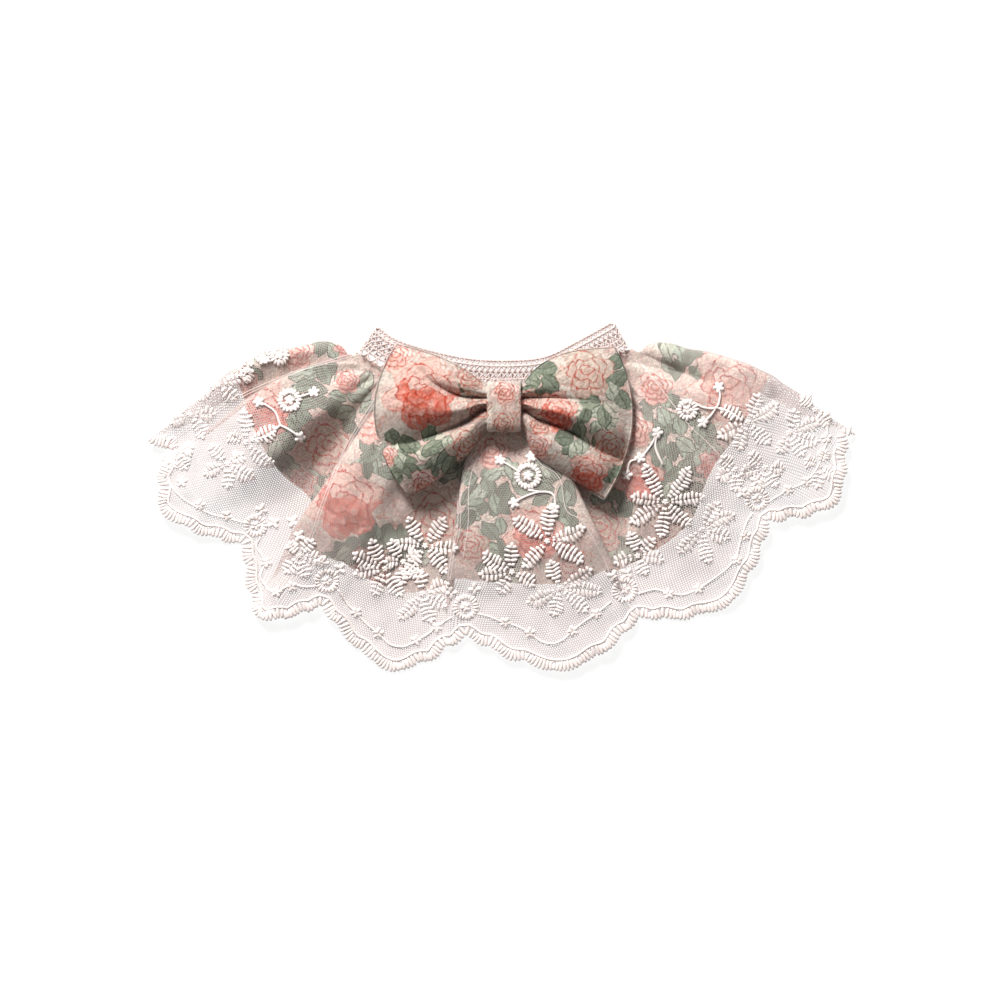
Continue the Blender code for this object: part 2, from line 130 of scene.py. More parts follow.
DENT = (5.72, 0.13, 7.0)  # a short crease beside the right roll: where, half width, depth
DENT_ROWS = (0.05, 0.12, 0.22, 0.5)
LEAN_ROWS = (0.05, 0.32, 0.78, 1.0)
PANEL_EDGES = (0.14, 1.41, 2.86, 3.97)  # places along the hem where a fold hides the cloth
PANEL_STEP = 1000.0  # the print of each panel lies this far along from the last one's
LEVEL = 0.6
BULGE_POWER = 0.85
SCALLOP_START = 0.72
SCALLOP_POWER = 1.3
HEM_LIFT = 0.35
FALL_ROWS = (0.6, 1.0)
RISE_ROWS = (0.045, 0.42)
SEAM_ROWS = (0.045, 0.10)
RIPPLE_ROWS = (0.1, 0.35)
SPREAD_ROWS = (0.0, 0.16)
NET_PITCH = 1.15
NET_THREAD = 0.075  # half a thread, as a share of the pitch
NET_SOFT = 0.035  # how softly its edge ends
NET_DOUBLE = 0.06  # and how much more of it where the net lies double
NET_DOUBLE_FROM = (-15.0, -1.0)  # mm beyond the printed cloth's edge where that starts
NET_DOUBLE_TO = (6.0, 26.0)  # and ends
NET_PANEL_STEP = 331.0  # mm from one panel's place on the net to the next one's
NET_OVER_PRINT = (0.57, 0.49, 0.47)
NET_OVER_FLOOR = (0.57, 0.475, 0.46)
GATHERS = 34
GATHER_HEIGHT = 0.8
GATHER_ROWS = (0.045, 0.12, 0.15, 0.45)
RIPPLES = (
    # wavelength mm, direction degrees, height mm
    (23.0, 12.0, 0.30),
    (17.0, 75.0, 0.22),
    (13.0, 140.0, 0.18),
    (9.0, 35.0, 0.10),
)
ROLL_STEPS = 12
ROLL_LEAST = 0.05
ROLL_SEAM = 1.4
ROLL_LONGEST = 40.0
ROLL_ROWS = (0.05, 0.3)
ROLL_CLEARANCE = 0.15
HEM_WALL = 1.7
FLAP_WIDTH = 5.0
FLAP_LEAST = 0.4
FLAP_SHARES = (0.33, 0.67, 1.0)  # places of the flap's columns across it
FLAP_ROWS = (0.35, 0.5, 0.8, 1.0)
LACE_ROWS = 96
FLORAL_ROWS = 72
COLUMN_STEP = 0.9  # mm of cloth between two columns of the sheets
FINE_STATIONS = 4000
LEAST_STATION = 0.004  # a column this near one at a lobe's notch is left out
ROW_START = 0.02
RUFFLE_DEEP = 95.0  # mm of net from the band to the hem, about

# Neckband: the cords of its lattice, with places across it in mm from its upper edge
BAND_CORDS = (
    # down, radius, wavelength
    (0.35, 0.55, 1.9),
    (6.3, 0.46, 1.7),
    (9.0, 0.46, 1.7),
)
BAND_STEPS = 900  # points of a cord
CORD_WAVE = 0.14
CORD_RISE = 0.12

# Bow
KNOT_X = (-6.3, 9.0)
KNOT_Y = (28.2, 52.0)
KNOT_Z = (BAND_TOP_Z + SEAM_GAP, 17.6)
KNOT_POWER = 3.2
KNOT_ROUND = 0.9
KNOT_WAIST = 0.6
KNOT_PUCKER = 0.45
KNOT_SIDES = 96
KNOT_STEPS = 25
RIGHT_LOOP = (
    # low x, low y, high x, high y, low z, high z, top, crease a, depth a, crease b, depth b
    (1.6, 30.6, 1.6, 49.6, 10.2, 10.2, 15.4, 0.70, 2.0, 0.40, 2.0),
    (9.2, 30.2, 9.2, 50.0, 10.2, 10.2, 15.4, 0.70, 4.0, 0.40, 4.0),
    (15.3, 18.5, 15.3, 56.3, 10.0, 10.0, 20.0, 0.68, 6.0, 0.41, 6.5),
    (26.6, 10.4, 24.3, 62.3, 10.0, 9.0, 22.0, 0.64, 3.5, 0.37, 7.0),
    (37.8, 4.1, 36.5, 65.5, 9.5, 8.0, 21.0, 0.62, 1.0, 0.28, 6.0),
    (46.2, -1.4, 50.9, 66.6, 9.0, 8.0, 14.0, 0.61, 0.0, 0.25, 3.5),
)
LEFT_LOOP = (
    # low x, low y, high x, high y, low z, high z, top, crease a, depth a, crease b, depth b
    (1.1, 30.6, 1.1, 49.6, 10.2, 10.2, 15.4, 0.70, 2.0, 0.42, 2.0),
    (-6.5, 30.2, -6.5, 50.0, 10.2, 10.2, 15.4, 0.70, 4.0, 0.42, 4.0),
    (-14.0, 19.8, -14.9, 55.4, 10.0, 10.0, 20.0, 0.70, 6.0, 0.37, 6.5),
    (-23.9, 11.7, -25.2, 61.2, 10.0, 9.0, 22.0, 0.76, 4.0, 0.33, 7.0),
    (-33.3, 4.1, -35.6, 65.0, 9.5, 8.0, 22.0, 0.88, 1.0, 0.32, 6.0),
    (-41.9, 0.5, -46.8, 68.0, 9.0, 8.0, 14.0, 0.90, 0.0, 0.32, 3.5),
)
LOOPS = (("right", RIGHT_LOOP, 10.0), ("left", LEFT_LOOP, -12.0))  # mm their ends bulge by
LOOP_GRID = (90, 120)  # columns from the knot out, rows across
LOOP_BASE = BAND_TOP_Z + 1.2
LOOP_ROUND = 2.6
LOOP_POWER = 0.6
LOOP_SPAN = 50.0
LOOP_SAG = 3.0
RIM = 2.4
CREASE_DEPTH = (1.25, 1.45)
CREASE_POWERS = ((0.6, 1.4), (0.95, 1.6))  # how round the outer lobes and the middle one are
RIDGES = 6.0
RIDGE_HEIGHT = 0.22
RIDGE_FADE = (0.25, 0.6)
DIMPLE_HEIGHT = 0.5
DIMPLE_FROM = (0.1, 0.4)
SEAM_LINE = (1.5, 0.35, 0.45)  # how far in from the edge, its width and depth
EDGE_PROFILE = ((0.15, 0.5), (0.38, 0.6), (0.5, -0.6), (0.62, 0.3), (0.85, 0.2))
EDGE_PRINT = 0.5  # mm by which the print goes out past the edge before it turns down

# Studio
FLOOR_HALF = 3.0  # m
FLOOR_COLOUR = (0.16, 0.16, 0.16)
FLOOR_GLOW = 0.88
KEY_PLACE = (-0.40, 1.02, 0.80)
KEY_SIZE = 0.45
KEY_WATTS = 34.0
KEY_COLOUR = (1.0, 0.97, 0.94)
SKY_COLOUR = (1.0, 0.935, 0.89)
SKY_STRENGTH = 0.26
CAMERA_LENS = 120.0
CAMERA_PLACE = (-0.00045, -0.0018, 1.505)

# Threads
THREAD_COLOUR = (0.91, 0.835, 0.82)
# The crochet cotton is darker than the embroidery thread: painted shade, for the band's shaded
# middle behind the bow
CROCHET_SHADED_COLOUR = (0.65, 0.55, 0.53)
THREAD_GRAIN = 2400.0  # scale of the strands in it, and then of its darker patches
THREAD_PATCH = 120.0

# Embroidery, on the photograph's plan grid
FERNS = (
    # centre, then the tips of its leaves
    ((247, 443), (245, 412), (277, 429), (273, 466), (230, 437)),
    ((228, 464), (213, 446), (243, 455), (254, 478), (228, 487), (206, 474)),
    ((219, 385), (252, 372), (236, 399), (197, 397), (206, 372)),
    ((190, 415), (213, 414), (203, 437), (172, 423), (176, 402)),
    ((425, 546), (409, 519), (444, 519), (456, 548), (446, 572), (404, 578), (397, 544)),
    ((385, 569), (372, 541), (355, 554), (356, 574), (374, 594), (401, 595)),
    ((422, 594), (418, 571), (448, 584), (445, 606), (400, 618), (431, 622)),
    ((547, 541), (551, 506), (583, 528), (581, 561), (524, 566), (515, 520)),
    ((512, 572), (512, 545), (485, 554), (481, 574), (501, 592), (533, 585)),
    ((560, 588), (551, 562), (590, 570), (600, 592), (586, 611), (554, 615), (529, 602)),
    (
        (665, 502), (645, 466), (688, 469), (702, 497),
        (689, 524), (661, 536), (632, 522), (633, 497),
    ),
    ((702, 530), (718, 504), (733, 515), (728, 538), (709, 562), (680, 552)),
    ((638, 556), (630, 534), (654, 540), (662, 560), (646, 574), (616, 563)),
    ((747, 423), (758, 396), (776, 405), (768, 443), (738, 449), (719, 437), (721, 410)),
    ((789, 433), (794, 411), (819, 421), (818, 441), (803, 455), (778, 451)),
    ((765, 468), (750, 455), (782, 468), (776, 486), (754, 488), (742, 474)),
    ((820, 466), (807, 460), (826, 452), (834, 474), (817, 487)),
    ((176, 452), (168, 440), (192, 448), (186, 468), (168, 468)),
    ((252, 364), (268, 352), (246, 380), (238, 362)),
    ((815, 410), (802, 398), (822, 396), (834, 410), (828, 424)),
    ((735, 470), (722, 458), (718, 478), (735, 490)),
    ((300, 556), (290, 543), (313, 541), (322, 562), (306, 576), (286, 572)),
    ((403, 562), (392, 541), (417, 553), (421, 577), (400, 584), (386, 562)),
)
LEAF_PITCH = 1.85  # mm between two bars of a leaf
LEAF_START = 2.2  # mm that stay bare round a fern's centre
LEAF_WIDE = 8.2
LEAF_ANGLE = math.radians(79)
LEAF_SWELL = (0.04, 0.81, 0.9)  # where a leaf's outline starts, how far it goes, its power
LEAF_CURVE = 0.07
LEAF_UNEVEN = (0.74, 1.16)
STITCH = 1.42  # width of a satin stitch
STITCH_LIFT = 0.28  # height of its middle above the net
STITCH_UNEVEN = (0.86, 1.12)
RINGS = (
    # x, y, radius in grid steps
    (290.8, 400.8, 12.5), (280.0, 355.8, 10.0), (528.0, 476.0, 14.5), (686.7, 410.0, 11.0),
    (255.0, 525.8, 12.0), (327.0, 581.0, 13.0), (465.5, 607.3, 14.0), (625.0, 590.0, 14.0),
    (757.0, 499.0, 13.0),
)
STARS = (
    (260.0, 402.5), (301.0, 437.5), (315.0, 392.5), (264.0, 360.0), (514.0, 503.0),
    (500.0, 460.0), (531.0, 457.0), (554.0, 509.0), (718.0, 387.5), (702.0, 423.0),
    (656.7, 433.0), (640.0, 458.0), (627.0, 475.0), (265.5, 562.7), (277.0, 591.8),
    (291.8, 586.4), (356.0, 612.7), (378.0, 633.6), (415.5, 641.0), (436.4, 628.0),
    (505.5, 622.7), (530.0, 633.0), (573.0, 631.0), (596.0, 614.0), (669.0, 594.0),
    (699.0, 589.0), (788.0, 490.0), (806.7, 481.7), (826.7, 438.0), (182.0, 482.0),
    (200.0, 505.0), (226.0, 516.0), (170.0, 455.0), (737.0, 560.0), (746.0, 536.0),
)
STAR = (2.8, 5, 1.9)  # length, number and width of the stitches in a small flower
RING_STAR = (2.5, 5, 1.9)
TREFOIL = (3.2, 4, 2.1)
FERN_CENTRE = (1.5, 5, 1.2)
FERN_TIP = (2.6, 1.8)
RING_PITCH = 1.42
RING_SHARE = 0.74  # where a ring's bars lie, as a share of its radius
RING_BAR = ((2.3, 3.3), (1.4, 1.75))  # least and most length, then width
TREFOILS = (
    (260.8, 510.0), (273.0, 523.0), (323.6, 561.8), (340.0, 569.0), (451.0, 593.0),
    (474.5, 589.0), (613.0, 576.0), (627.0, 574.0), (756.0, 481.0), (742.0, 493.0),
    (292.5, 521.7), (300.0, 536.0),
)
STEMS = (
    ((260, 402.5), (268, 406), (276.7, 413), (281.7, 425.8)),
    ((281.7, 425.8), (290, 430), (301, 437.5)),
    ((303, 397), (315, 392.5)),
    ((281.7, 425.8), (270, 436), (252, 441)),
    ((264, 360), (271, 358)),
    ((514, 503), (524, 497), (540, 492), (553, 495), (556, 512)),
    ((500, 460), (510, 466), (516, 470)),
    ((528, 490), (540, 492)),
    ((693, 403), (703, 408), (715, 408), (719, 398), (718, 387.5)),
    ((715, 408), (710, 416), (702, 423)),
    ((715, 408), (728, 412), (740, 420)),
    ((656.7, 433), (650, 446), (640, 458), (630, 462), (627, 475)),
    ((656.7, 433), (655, 448), (662, 465)),
)
HEM_CORDS = (
    # through the small flowers and rings of the hem
    ((171, 462), (170, 483), (181, 497), (193, 505), (210, 514), (226, 518), (243, 523)),
    (
        (260, 537), (256, 547), (264, 562), (260, 578), (269, 590), (277, 592), (291, 585),
        (305, 587), (316, 586),
    ),
    (
        (338, 590), (347, 604), (356, 613), (366, 624), (378, 634), (390, 645), (404, 647),
        (416, 641), (427, 635), (436, 628), (452, 617),
    ),
    (
        (478, 614), (490, 617), (504, 623), (516, 626), (530, 633), (540, 641), (552, 644),
        (563, 640), (573, 631), (584, 622), (596, 614), (611, 602),
    ),
    (
        (639, 594), (655, 590), (669, 593), (684, 595), (699, 589), (714, 579), (729, 567),
        (737, 555), (741, 540), (747, 522), (753, 513),
    ),
    (
        (769, 502), (780, 495), (790, 489), (806, 482), (818, 467), (824, 451), (828, 437),
        (826, 420), (822, 408),
    ),
)
FOLD_LINES = (
    # threads at the edges of the folds: whether there are two, then the places
    (True, (360, 352), (330, 361), (299, 371), (250, 392), (210, 415), (176, 436)),
    (True, (386, 384), (364, 417), (345, 450), (325, 500), (308, 545), (283, 583), (262, 612)),
    (True, (474, 452), (460, 478), (459, 526), (453, 554), (449, 580)),
    (False, (484, 442), (470, 480), (468, 526), (463, 558)),
    (False, (540, 464), (559, 478), (566, 510), (583, 522), (604, 560), (610, 575)),
    (False, (640, 361), (664, 393), (689, 426), (703, 439), (722, 458)),
)
HEM_PITCH = 1.7
HEM_LOBE = 8.0  # stitches in a small lobe
HEM_STITCH = (3.2, 2.7)  # shortest, and how much longer the stitches are at a lobe's middle
HEM_WIDTH = (1.6, 1.95)
HEM_CORD = (4.4, 0.62)  # how far in from the hem its cord lies, and its radius
CORD_ENDS = slice(7, -7)  # it stops this many hem stitches before the rolled sides
STEM_RADIUS = 0.5
FOLD_THREAD = (0.55, 0.12)  # half the gap between two threads, and their radius


def smooth(low, high, x):
    """0 below low, 1 above high, and an even S between them."""
    s = np.clip((np.asarray(x, float) - low) / (high - low), 0.0, 1.0)
    return s * s * (3.0 - 2.0 * s)


def steady(xs, ys, at):
    """A curve through the points that never overshoots them."""
    xs, ys, at = (np.asarray(v, float) for v in (xs, ys, at))
    step = np.diff(xs)
    slope = np.diff(ys) / step
    tangent = np.zeros_like(ys)
    tangent[0], tangent[-1] = slope[0], slope[-1]
    same_way = slope[:-1] * slope[1:] > 0
    before, after = slope[:-1][same_way], slope[1:][same_way]
    tangent[1:-1][same_way] = 2.0 * before * after / (before + after)
    i = np.clip(np.searchsorted(xs, at, side="right") - 1, 0, len(xs) - 2)
    s = (at - xs[i]) / step[i]
    bend = (1 - s) * tangent[i] * step[i] - s * tangent[i + 1] * step[i]
    twist = (1 - 2 * s) * (ys[i + 1] - ys[i])
    return ys[i] + s * (ys[i + 1] - ys[i]) + s * (1 - s) * (bend - twist)


def spline(points, at):
    """A Catmull-Rom curve through the points, one for each whole number of at."""
    points = np.asarray(points, float)
    ends = (2 * points[0] - points[1], 2 * points[-1] - points[-2])
    held = np.vstack([ends[0], points, ends[1]])
    at = np.asarray(at, float)
    i = np.clip(np.floor(at).astype(int), 0, len(points) - 2)
    s = (at - i)[..., None]
    a, b, c, d = held[i], held[i + 1], held[i + 2], held[i + 3]
    return b + 0.5 * s * (
        c - a + s * (2 * a - 5 * b + 4 * c - d + s * (3 * (b - c) + d - a))
    )


def on_plan(x, y):
    """A point of the photograph's plan grid in millimetres."""
    return (
        (np.asarray(x, float) - GRID_CENTRE[0]) * GRID,
        (GRID_CENTRE[1] - np.asarray(y, float)) * GRID,
    )


def unit(vectors):
    """The same directions with length 1."""
    return vectors / np.maximum(np.linalg.norm(vectors, axis=-1, keepdims=True), 1e-9)


def run_along(points):
    """Distance along a line of points, from its start."""
    steps = np.linalg.norm(np.diff(points, axis=0), axis=1)
    return np.concatenate([[0], np.cumsum(steps)])


def band_edge():
    """The neckband's upper edge as a fine line of points."""
    return spline(BAND_EDGE, np.linspace(0, len(BAND_EDGE) - 1, 400))


def band_points(share, down):
    """Points of the neckband at a share of its length, this far below its upper edge."""
    fine = band_edge()
    run = run_along(fine)
    along = unit(np.gradient(fine, axis=0))
    place = np.asarray(share) * run[-1]
    x, y, dx, dy = (
        np.interp(place, run, column)
        for column in (fine[:, 0], fine[:, 1], along[:, 0], along[:, 1])
    )
    return np.stack([x + dy * down, y - dx * down], -1)


def band_length():
    return float(np.linalg.norm(np.diff(band_edge(), axis=0), axis=1).sum())


def fold_column(column, hem):
    return steady([row[1] for row in FOLDS], [row[column] for row in FOLDS], hem)


def scallop(x):
    reach = (1 - LOBE_DEPTH) * np.sin(np.pi * np.clip(x, 0, 1)) ** ARCH_POWER
    for start, end in LOBES:
        inside = (x >= start) & (x < end)
        reach = reach + LOBE_DEPTH * inside * np.sin(np.pi * (x - start) / (end - start))
    return reach


def ruffle_plan(hem, row):
    """Where the cloth lies in plan; hem and row are arrays of one shape."""
    notches = [entry[:2] for entry in SCALLOPS] + [LAST_NOTCH]
    tips = np.array([entry[2:] for entry in SCALLOPS])
    fold = (BAND_FRONT_Z + BAND_WALL) / 2
    end = (fold + SEAM_GAP + ROLL_SEAM + RUFFLE_INSET) / band_length()
    inner = band_points(end + fold_column(2, hem) * (1 - 2 * end), FRONT_DROP[1] - TUCK)
    base = spline(notches, hem)
    chord = base - inner
    side = unit(np.stack([-chord[..., 1], chord[..., 0]], -1))
    bow = fold_column(4, hem) * np.sin(np.pi * row**BULGE_POWER)
    bow = bow * smooth(*SPREAD_ROWS, row)
    bow = bow + fold_column(5, hem) * smooth(*LEAN_ROWS[:2], row) * (
        1 - smooth(*LEAN_ROWS[2:], row)
    )
    number = np.clip(np.floor(hem).astype(int), 0, len(SCALLOPS) - 1)
    reach = tips - spline(notches, np.arange(len(SCALLOPS)) + 0.5)
    edge = np.clip((row - SCALLOP_START) / (1 - SCALLOP_START), 0, 1) ** SCALLOP_POWER
    out = reach[number] * (scallop(hem - np.floor(hem)) * edge)[..., None]
    return inner + chord * row[..., None] + side * bow[..., None] + out


def ripple(plan):
    """Small soft wrinkles, the same for both ruffles."""
    height = np.zeros(plan.shape[:-1])
    for number, (wave, direction, tall) in enumerate(RIPPLES):
        turn = math.radians(direction)
        along = plan[..., 0] * math.cos(turn) + plan[..., 1] * math.sin(turn)
        across = plan[..., 1] * math.cos(turn) - plan[..., 0] * math.sin(turn)
        bend = 1.3 * np.sin(across / wave * 2.1 + number)
        height += tall * np.sin(2 * np.pi * along / wave + bend + 2.4 * number)
    return height


def ruffle_height(hem, row, plan):
    fall = 1 - (1 - HEM_LIFT) * smooth(*FALL_ROWS, row)
    fold = fold_column(3, hem) * fall * smooth(*RISE_ROWS, row)
    gather = GATHER_HEIGHT * np.sin(2 * np.pi * GATHERS * fold_column(2, hem))
    gather = gather * smooth(*GATHER_ROWS[:2], row) * (1 - smooth(*GATHER_ROWS[2:], row))
    dent = DENT[2] * np.exp(-(((hem - DENT[0]) / DENT[1]) ** 2))
    fold = fold - dent * smooth(*DENT_ROWS[:2], row) * (1 - smooth(*DENT_ROWS[2:], row))
    free = smooth(*SEAM_ROWS, row)
    body = fold + gather + ripple(plan) * smooth(*RIPPLE_ROWS, row) - LEVEL
    return SEAT_Z * (1 - free) + np.maximum(body, 0) * free


def roll(edge, next_to, rows):
    """The side of the ruffles, turned under: columns that follow on from edge."""
    inward = next_to[:, :2] - edge[:, :2]
    along = unit(np.gradient(edge[:, :2], axis=0))
    inward = unit(inward - along * (inward * along).sum(1, keepdims=True))
    turn = np.maximum(np.pi * smooth(*RISE_ROWS, rows), ROLL_LEAST)
    thick = FLORAL_WALL + SEAM_GAP + HEM_WALL + ROLL_CLEARANCE
    drop = edge[:, 2] - FLAP_LEAST * np.sin(turn) - thick * np.maximum(-np.cos(turn), 0)
    longest = ROLL_SEAM + ROLL_LONGEST * smooth(*ROLL_ROWS, rows)
    radius = np.minimum(np.maximum(drop, ROLL_LEAST) / (1 - np.cos(turn)), longest / turn)
    flap = FLAP_WIDTH * smooth(*FLAP_ROWS[:2], rows) * (1 - smooth(*FLAP_ROWS[2:], rows))
    flap += FLAP_LEAST
    columns = []
    for step in range(1, ROLL_STEPS + 1):
        angle = turn * step / ROLL_STEPS
        plan = edge[:, :2] - inward * (radius * np.sin(angle))[:, None]
        rise = edge[:, 2] - radius + radius * np.cos(angle)
        columns.append(np.column_stack([plan, rise]))
    last = columns[-1]
    for share in FLAP_SHARES:
        plan = last[:, :2] - inward * (share * flap * np.cos(turn))[:, None]
        columns.append(np.column_stack([plan, last[:, 2] - share * flap * np.sin(turn)]))
    for column in columns:
        column[:, 2] = np.maximum(column[:, 2], 0)
    return columns


def hem_stations():
    """Places along the hem for the sheets' columns, closer together where cloth turns."""
    first, last = FOLDS[0][1], FOLDS[-1][1]
    fine = np.linspace(first, last, FINE_STATIONS)
    middle = np.full_like(fine, 0.5)
    plan = ruffle_plan(fine, middle)
    rise = ruffle_height(fine, middle, plan)
    hem = ruffle_plan(fine, np.ones_like(fine))
    steps = np.linalg.norm(np.diff(np.column_stack([plan, rise]), axis=0), axis=1)
    steps = np.maximum(steps, np.linalg.norm(np.diff(hem, axis=0), axis=1))
    run = np.concatenate([[0], np.cumsum(steps)])
    places = np.interp(np.arange(0, run[-1], COLUMN_STEP), run, fine)
    kept = [n + start for n in range(-1, 7) for start, _ in LOBES]
    kept = np.array([k for k in kept if first < k < last])
    near = np.abs(places[:, None] - kept[None, :]).min(1) < LEAST_STATION
    return np.sort(np.concatenate([places[~near], kept, [last]]))


def ruffle_surface(stations, rows):
    """A grid of points over the ruffles, rolled under at both sides, and its places."""
    hem = np.repeat(stations[:, None], rows.shape[1], axis=1)
    plan = ruffle_plan(hem, rows)
    grid = np.dstack([plan, ruffle_height(hem, rows, plan)])
    left = roll(grid[0], grid[1], rows[0])
    right = roll(grid[-1], grid[-2], rows[-1])
    places = [stations[0]] * len(left) + list(stations) + [stations[-1]] * len(right)
    return np.array(left[::-1] + list(grid) + right), np.array(places)


def grid_normals(grid):
    across, down = np.gradient(grid, axis=0), np.gradient(grid, axis=1)
    return unit(np.cross(down, across))


def grid_faces(columns, rows, closed=False, wrapped=False):
    """Quads of a grid; closed joins its last column to the first, wrapped its rows."""
    across, down = columns - (not closed), rows - (not wrapped)
    i, k = np.meshgrid(np.arange(across), np.arange(down), indexing="ij")
    j, n = (i + 1) % columns, (k + 1) % rows
    quads = np.stack([i * rows + k, i * rows + n, j * rows + n, j * rows + k], -1)
    return quads.reshape(-1, 4)


def add_mesh(name, points, faces, material, nodes=(), uv=None):
    """One piece from arrays; uv gives each face corner's place on the cloth in mm."""
    mesh = bpy.data.meshes.new(name)
    points = np.asarray(points, float).reshape(-1, 3) * MM
    faces = faces.tolist() if isinstance(faces, np.ndarray) else faces
    mesh.from_pydata(points.tolist(), [], faces)
    mesh.shade_smooth()
    if uv is not None:
        layer = mesh.uv_layers.new(name="cloth")
        layer.data.foreach_set("uv", np.asarray(uv, np.float32).ravel())
    mesh.materials.append(material)
    piece = bpy.data.objects.new(name, mesh)
    bpy.context.scene.collection.objects.link(piece)
    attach(piece, "root")
    if nodes:
        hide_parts(*nodes)
    return piece


def panel_uv(grid, faces, places):
    """Plan places for the print, moved on for each panel so that folds break it up."""
    rows = grid.shape[1]
    column = faces // rows
    middle = places[column].mean(axis=1)
    panel = np.searchsorted(PANEL_EDGES, middle)
    uv = grid.reshape(-1, 3)[faces][..., :2].copy()
    uv[..., 0] += panel[:, None] * PANEL_STEP
    return uv


# Materials


class Graph:
    """A material's nodes, made with short calls. An input is a number, a tuple or a socket."""

    def __init__(self, name):
        self.material = bpy.data.materials.new(name)
        self.material.use_nodes = True
        self.tree = self.material.node_tree
        self.shader = self.tree.nodes["Principled BSDF"]

    def put(self, socket, value):
        if isinstance(value, bpy.types.NodeSocket):
            self.tree.links.new(value, socket)
        elif socket.type == "RGBA":
            socket.default_value = (*value, 1.0)
        else:
            socket.default_value = value

    def surface(self, **values):
        """Set the shader's inputs, with _ for each space in a name."""
        for name, value in values.items():
            self.put(self.shader.inputs[name.replace("_", " ")], value)
        return self.material

    def node(self, kind, inputs, **settings):
        node = self.tree.nodes.new("ShaderNode" + kind)
        for key, value in settings.items():
            setattr(node, key, value)
        for place, value in inputs.items():
            self.put(node.inputs[place], value)
        return node

    def math(self, operation, *values):
        return self.node("Math", dict(enumerate(values)), operation=operation).outputs[0]

    def vector(self, operation, *values):
        node = self.node("VectorMath", dict(enumerate(values)), operation=operation)
        scalar = operation in ("LENGTH", "DISTANCE", "DOT_PRODUCT")
        return node.outputs["Value" if scalar else "Vector"]

    def split(self, vector):
        return self.node("SeparateXYZ", {0: vector}).outputs

    def turn(self, vector, angle):
        inputs = {"Vector": vector, "Angle": angle}
        return self.node("VectorRotate", inputs, rotation_type="Z_AXIS").outputs[0]

    def colour(self, factor, a, b):
        inputs = {0: factor, 6: a, 7: b}
        return self.node("Mix", inputs, data_type="RGBA").outputs[2]

    def either(self, factor, a, b):
        """a where factor is 0 and b where it is 1, for numbers."""
        return self.node("Mix", {0: factor, 2: a, 3: b}, data_type="FLOAT").outputs[0]

    def either_vector(self, factor, a, b):
        return self.node("Mix", {0: factor, 4: a, 5: b}, data_type="VECTOR").outputs[1]

    def step(self, value, low, high, start=0.0, end=1.0):
        """start below low, end above high, and an even S between them."""
        inputs = {0: value, 1: low, 2: high, 3: start, 4: end}
        return self.node("MapRange", inputs, interpolation_type="SMOOTHSTEP").outputs[0]

    def noise(self, vector, scale, detail=2.0, rough=0.5):
        inputs = {"Vector": vector, "Scale": scale, "Detail": detail, "Roughness": rough}
        return self.node("TexNoise", inputs, noise_dimensions="2D").outputs

    def ramp(self, value, stops):
        """A colour for each stretch of value, from where it starts."""
        node = self.node("ValToRGB", {0: value})
        ramp = node.color_ramp
        ramp.interpolation = "CONSTANT"
        while len(ramp.elements) < len(stops):
            ramp.elements.new(1.0)
        for number, (place, colour) in enumerate(stops):
            ramp.elements[number].position = place
            ramp.elements[number].color = (*colour, 1.0)
        return node.outputs[0]

    def cloth(self, layer="cloth"):
        return self.node("UVMap", {}, uv_map=layer).outputs[0]

    def bump(self, height, strength, distance):
        inputs = {"Strength": strength, "Distance": distance, "Height": height}
        return self.node("Bump", inputs).outputs[0]


ROSE, PEONY, PALE = 0.0, 0.5, 1.0

# The print's flowers, as the photograph's plan shows their rough places and sizes
RUFFLE_BLOOMS = (
    # panel, grid x, grid y, radius mm, kind
    (0, 296, 352, 8.5, PALE), (0, 236, 382, 10.0, PALE), (0, 345, 346, 5.0, PALE),
    (0, 190, 410, 9.0, PEONY),
    (1, 268, 410, 12.5, ROSE), (1, 347, 381, 6.0, PALE), (1, 328, 446, 13.0, PEONY),
    (1, 233, 446, 9.0, PALE), (1, 302, 482, 7.0, PEONY),
    (2, 346, 500, 17.5, ROSE), (2, 436, 516, 14.0, PEONY), (2, 372, 566, 10.0, PEONY),
    (2, 420, 470, 9.0, PALE), (2, 372, 420, 11.0, PALE),
    (3, 535, 533, 13.0, ROSE), (3, 470, 545, 9.0, PEONY), (3, 492, 452, 8.0, PALE),
    (3, 572, 560, 9.0, PEONY),
    (4, 728, 384, 17.0, PALE), (4, 655, 388, 8.0, PALE), (4, 640, 478, 11.0, ROSE),
    (4, 600, 528, 12.0, PEONY), (4, 712, 466, 7.0, ROSE), (4, 672, 545, 9.0, PEONY),
    (4, 633, 430, 9.0, PALE),
)
RUFFLE_LEAVES = (
    # panel, grid x, grid y, radius mm
    (0, 325, 352, 6.0), (0, 262, 366, 6.0), (0, 215, 420, 7.0),
    (1, 318, 384, 11.0), (1, 358, 396, 8.0), (1, 300, 432, 8.0), (1, 345, 412, 9.0),
    (1, 286, 462, 8.0), (1, 330, 486, 12.0), (1, 250, 380, 6.0),
    (2, 380, 455, 11.0), (2, 378, 545, 12.0), (2, 408, 550, 10.0), (2, 452, 560, 9.0),
    (2, 345, 562, 9.0), (2, 455, 470, 8.0),
    (3, 496, 482, 13.0), (3, 478, 515, 12.0), (3, 545, 478, 12.0), (3, 505, 566, 10.0),
    (3, 560, 510, 8.0),
    (4, 690, 448, 15.0), (4, 668, 478, 13.0), (4, 656, 415, 12.0), (4, 668, 357, 8.0),
    (4, 690, 365, 7.0), (4, 612, 505, 8.0), (4, 632, 552, 9.0), (4, 700, 490, 12.0),
    (4, 590, 560, 8.0),
)
